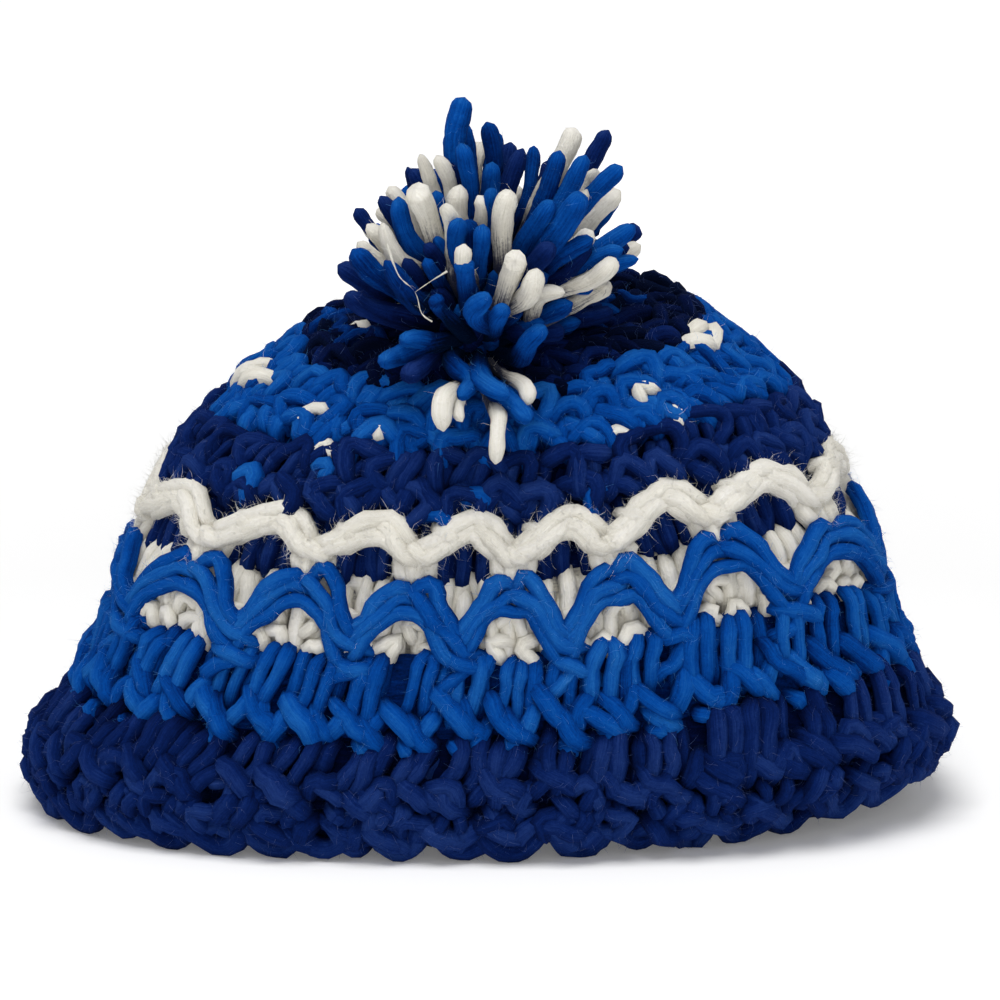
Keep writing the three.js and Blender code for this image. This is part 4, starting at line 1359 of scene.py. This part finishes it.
@dataclass
class Studio:
    """A pale floor, soft light and a camera at the photograph's angle."""

    elevation_deg: float = 11.5
    target: tuple[float, float, float] = (3.4, 0.0, 78.5)
    distance: float = 750.0
    view_width: float = 258.0
    sensor: float = 36.0
    sky: float = 0.38

    def paper(self) -> bpy.types.Material:
        """Builds the white paper of the floor, lit from within away from the hat.

        Returns:
            A matte white material that glows faintly in the distance.
        """
        made = bpy.data.materials.new("matte_white_paper")
        made.use_nodes = True
        tree = made.node_tree
        shader = tree.nodes["Principled BSDF"]
        shader.inputs["Base Color"].default_value = linear("#fafafa")
        shader.inputs["Roughness"].default_value = 0.9
        shader.inputs["Specular IOR Level"].default_value = 0.1
        shader.inputs["Emission Strength"].default_value = 1.0
        where = add_node(tree, "ShaderNodeTexCoord")
        away = add_node(tree, "ShaderNodeVectorMath", {"operation": "LENGTH"}, {0: where.outputs["Object"]})
        glow = add_node(tree, "ShaderNodeMapRange",
                        {"From Min": 0.3, "From Max": 1.5, "To Min": 0.12, "To Max": 0.68},
                        {"Value": away.outputs["Value"]})
        tree.links.new(glow.outputs[0], shader.inputs["Emission Color"])
        return made

    def add_floor(self) -> None:
        """Adds the floor."""
        bpy.ops.mesh.primitive_plane_add(size=30.0, location=(0, 0, -0.0002))
        floor = bpy.context.object
        floor.name = "floor"
        floor.data.materials.append(self.paper())

    def add_light(self, name: str, place: tuple[float, float, float], size: float, watts: float) -> None:
        """Adds one square softbox aimed at the hat.

        Args:
            name: the light's name.
            place: its position in metres.
            size: its side in metres.
            watts: its power.
        """
        lamp = bpy.data.lights.new(name, "AREA")
        lamp.size = size
        lamp.energy = watts
        holder = bpy.data.objects.new(name, lamp)
        holder.location = place
        aim = np.array(self.target) * MM - np.array(place)
        tip = math.atan2(math.hypot(aim[0], aim[1]), -aim[2])
        holder.rotation_euler = (tip, 0, math.atan2(-aim[0], aim[1]))
        bpy.context.scene.collection.objects.link(holder)

    def build(self) -> None:
        """Adds floor, lights and camera."""
        self.add_floor()
        world = bpy.data.worlds.new("studio_white")
        world.use_nodes = True
        world.node_tree.nodes["Background"].inputs["Color"].default_value = (1, 1, 1, 1)
        world.node_tree.nodes["Background"].inputs["Strength"].default_value = self.sky
        bpy.context.scene.world = world
        self.add_light("key_softbox", (-0.12, -0.6, 1.75), 1.1, 24.0)
        self.add_light("fill_softbox", (0.3, -1.5, 0.6), 1.2, 4.0)
        bpy.context.scene.view_settings.view_transform = "Standard"
        tilt = math.radians(self.elevation_deg)
        camera = bpy.data.objects.new("camera", bpy.data.cameras.new("camera"))
        camera.data.sensor_width = self.sensor
        camera.data.lens = self.sensor * self.distance / self.view_width
        back = np.array([0, -math.cos(tilt), math.sin(tilt)]) * self.distance
        camera.location = (np.array(self.target) + back) * MM
        camera.rotation_euler = (math.pi / 2 - tilt, 0, 0)
        bpy.context.scene.collection.objects.link(camera)
        bpy.context.scene.camera = camera


@dataclass
class Hat:
    """The crocheted body: rounds from the rim up, with the two zigzag chains over them."""

    form: HatForm
    sweep: YarnSweep
    sunk: float = -6.2

    def rim(self) -> None:
        """Two navy rounds and the scalloped edge."""
        strands = StrandSet()
        edge = CrochetRound(self.form, 0.15, 0.95, 42, Yarn.NAVY, EDGE_STITCH, strand_radius=2.3, seed=20)
        edge.lay(strands, inside=False)
        lower = CrochetRound(self.form, 0.3, 1.4, 46, Yarn.NAVY, PLAIN_STITCH, strand_radius=2.2,
                             unevenness=1.6, seed=21)
        lower.lay(strands)
        upper = CrochetRound(self.form, 1.3, 3.0, 46, Yarn.NAVY, strand_radius=2.2, unevenness=1.6, seed=22)
        upper.lay(strands)
        lumps = YarnLoops(self.form, Yarn.NAVY, (7, 10), (5, 8), 1.4, strand_radius=2.1, seed=37)
        lumps.lay_round(strands, 0.5, 2.2, 36, 2)
        self.sweep.make("rim_stitches", strands, "navy_yarn", ("rim_band",), seed=1)

    def lower_bands(self) -> None:
        """The royal round and the ivory round with its posts and nubs."""
        strands = StrandSet()
        CrochetRound(self.form, 2.98, 4.05, 46, Yarn.ROYAL, seed=23).lay(strands)
        self.sweep.make("royal_stitches", strands, "royal_yarn", ("royal_band",), seed=2)
        strands = StrandSet()
        posts = CrochetRound(self.form, 4.1, 5.5, 100, Yarn.IVORY, FINGER_STITCH, self.sunk, 2.3, seed=24)
        posts.lay(strands)
        nubs = YarnLoops(self.form, Yarn.IVORY, (5, 8), (4, 7), 1.6, self.sunk + 1.6, 1.75, seed=30)
        nubs.lay_round(strands, 3.95, 4.85, 60, 2)
        self.sweep.make("ivory_stitches", strands, "ivory_yarn", ("ivory_band",), seed=3)

    def navy_band(self) -> None:
        """The navy posts behind the ivory chain and the tangled navy round above, with royal specks."""
        strands = StrandSet()
        CrochetRound(self.form, 5.45, 6.6, 96, Yarn.NAVY, FINGER_STITCH, self.sunk, 2.2, seed=25).lay(strands)
        CrochetRound(self.form, 6.55, 7.7, 46, Yarn.NAVY, PLAIN_STITCH, -3.4, seed=26).lay(strands)
        tangle = YarnLoops(self.form, Yarn.NAVY, tilt=1.6, strand_radius=2.1, seed=33)
        tangle.lay_round(strands, 6.6, 7.7, 42, 2)
        specks = ((-2.95, 6.9), (-2.15, 7.3), (-0.2, 6.9), (-0.6, 6.5), (1.15, 6.7), (6.2, 7.0),
                  (8.7, 6.8), (-7.5, 7.1))
        YarnLoops(self.form, Yarn.ROYAL, (6, 8), (5, 7), seed=41).lay_specks(strands, specks)
        self.sweep.make("navy_stitches", strands, "navy_yarn", ("navy_band",), seed=5)

    def crown(self) -> None:
        """The royal round with ivory specks, and the gathered navy top with royal patches."""
        strands = StrandSet()
        CrochetRound(self.form, 7.65, 9.25, 40, Yarn.ROYAL, PLAIN_STITCH, -3.4, seed=27).lay(strands)
        tangle = YarnLoops(self.form, Yarn.ROYAL, (9, 13), (7, 11), 1.2, strand_radius=2.05, seed=34)
        tangle.lay_round(strands, 7.7, 9.25, 34, 3)
        specks = ((-2.85, 8.35), (-2.25, 7.65), (-1.8, 8.15), (2.2, 8.42), (2.4, 7.79), (1.55, 7.75),
                  (7.1, 8.2), (8.8, 8.6), (-6.9, 8.0))
        YarnLoops(self.form, Yarn.IVORY, (5, 7), (3, 5), depth=-2.2, seed=42).lay_specks(strands, specks)
        stitches = ((-5.0, 7.95, -4.65, 8.8), (-4.72, 8.15, -4.05, 8.7), (-4.95, 8.2, -4.5, 8.5),
                    (3.6, 9.5, 4.15, 8.95), (4.0, 9.0, 4.8, 9.2), (3.85, 9.6, 4.5, 9.4))
        YarnLoops(self.form, Yarn.IVORY, depth=-1.2, strand_radius=2.3, seed=43).lay_bars(strands, stitches)
        self.sweep.make("crown_stitches", strands, "royal_yarn", ("crown_band",), seed=7)
        strands = StrandSet()
        # The gathered top under the pompom gets low shades: the pompom's shadow, painted into the colour.
        painted_pompom_shadow = (-1.5, 0.0)
        gathered = CrochetRound(self.form, 9.2, 10.5, 30, Yarn.NAVY, PLAIN_STITCH, -3.4, shades=painted_pompom_shadow, seed=28)
        gathered.lay(strands)
        last = CrochetRound(self.form, 10.4, 12.0, 18, Yarn.NAVY, PLAIN_STITCH, -3.4, shades=painted_pompom_shadow, seed=29)
        last.lay(strands)
        YarnLoops(self.form, Yarn.NAVY, seed=35, shades=painted_pompom_shadow).lay_round(strands, 9.25, 10.6, 24, 2)
        gather = YarnLoops(self.form, Yarn.NAVY, (7, 10), (6, 8), seed=36, shades=painted_pompom_shadow)
        gather.lay_round(strands, 10.6, 11.8, 12, 2)
        # The royal patches under the pompom get low shades too: painted shadow.
        patches = ((-5.27, 9.74), (-5.47, 10.25), (-3.67, 10.43), (-4.13, 9.99), (-4.7, 10.1), (5.53, 10.98),
                   (4.87, 11.2), (6.2, 11.0), (5.9, 10.6))
        YarnLoops(self.form, Yarn.ROYAL, depth=-1.4, seed=44, shades=(-0.9, 0.2)).lay_specks(strands, patches)
        fleck = YarnLoops(self.form, Yarn.IVORY, (5, 6), (3, 4), depth=-0.8, seed=45)
        fleck.lay_specks(strands, ((-4.2, 10.5),))
        self.sweep.make("crown_top_stitches", strands, "navy_yarn", ("crown_top",), seed=8)

    def chains(self) -> None:
        """The raised royal and ivory zigzag chains."""
        strands = StrandSet()
        royal = ZigzagChain(self.form, 4.1, 5.4, 0.74, Yarn.ROYAL, ROYAL_CHAIN, strand_radius=1.95, seed=31)
        royal.lay(strands)
        self.sweep.make("royal_zigzag_chain", strands, "royal_yarn", ("royal_zigzag",), 130000.0, seed=4)
        strands = StrandSet()
        ivory = ZigzagChain(self.form, 5.82, 6.5, 0.2, Yarn.IVORY, IVORY_CHAIN, strand_radius=2.25, seed=32)
        ivory.lay(strands)
        self.sweep.make("ivory_zigzag_chain", strands, "ivory_yarn", ("ivory_zigzag",), 420000.0, 4.0, seed=6)

    def build(self) -> None:
        """Builds the body from the rim up."""
        self.rim()
        self.lower_bands()
        self.navy_band()
        self.crown()
        self.chains()


def main() -> None:
    """Builds the hat from the rim up, then the pompom and the studio."""
    logging.basicConfig(level=logging.INFO, format="%(name)s: %(message)s")
    Studio().build()
    form = HatForm()
    sweep = YarnSweep()
    Hat(form, sweep).build()

    pompom = StrandSet()
    Pompom(form).lay(pompom)
    sweep.make("pompom_ends", pompom, "pompom_yarn", ("pompom",), step_mm=1.0, sides=9, lump_mm=1.2, seed=9)

    tie = StrandSet()
    PompomTie().lay(tie)
    sweep.make("pompom_tie_winding", tie, "navy_yarn", ("pompom_tie",), seed=10)


if __name__ == "__main__":
    main()
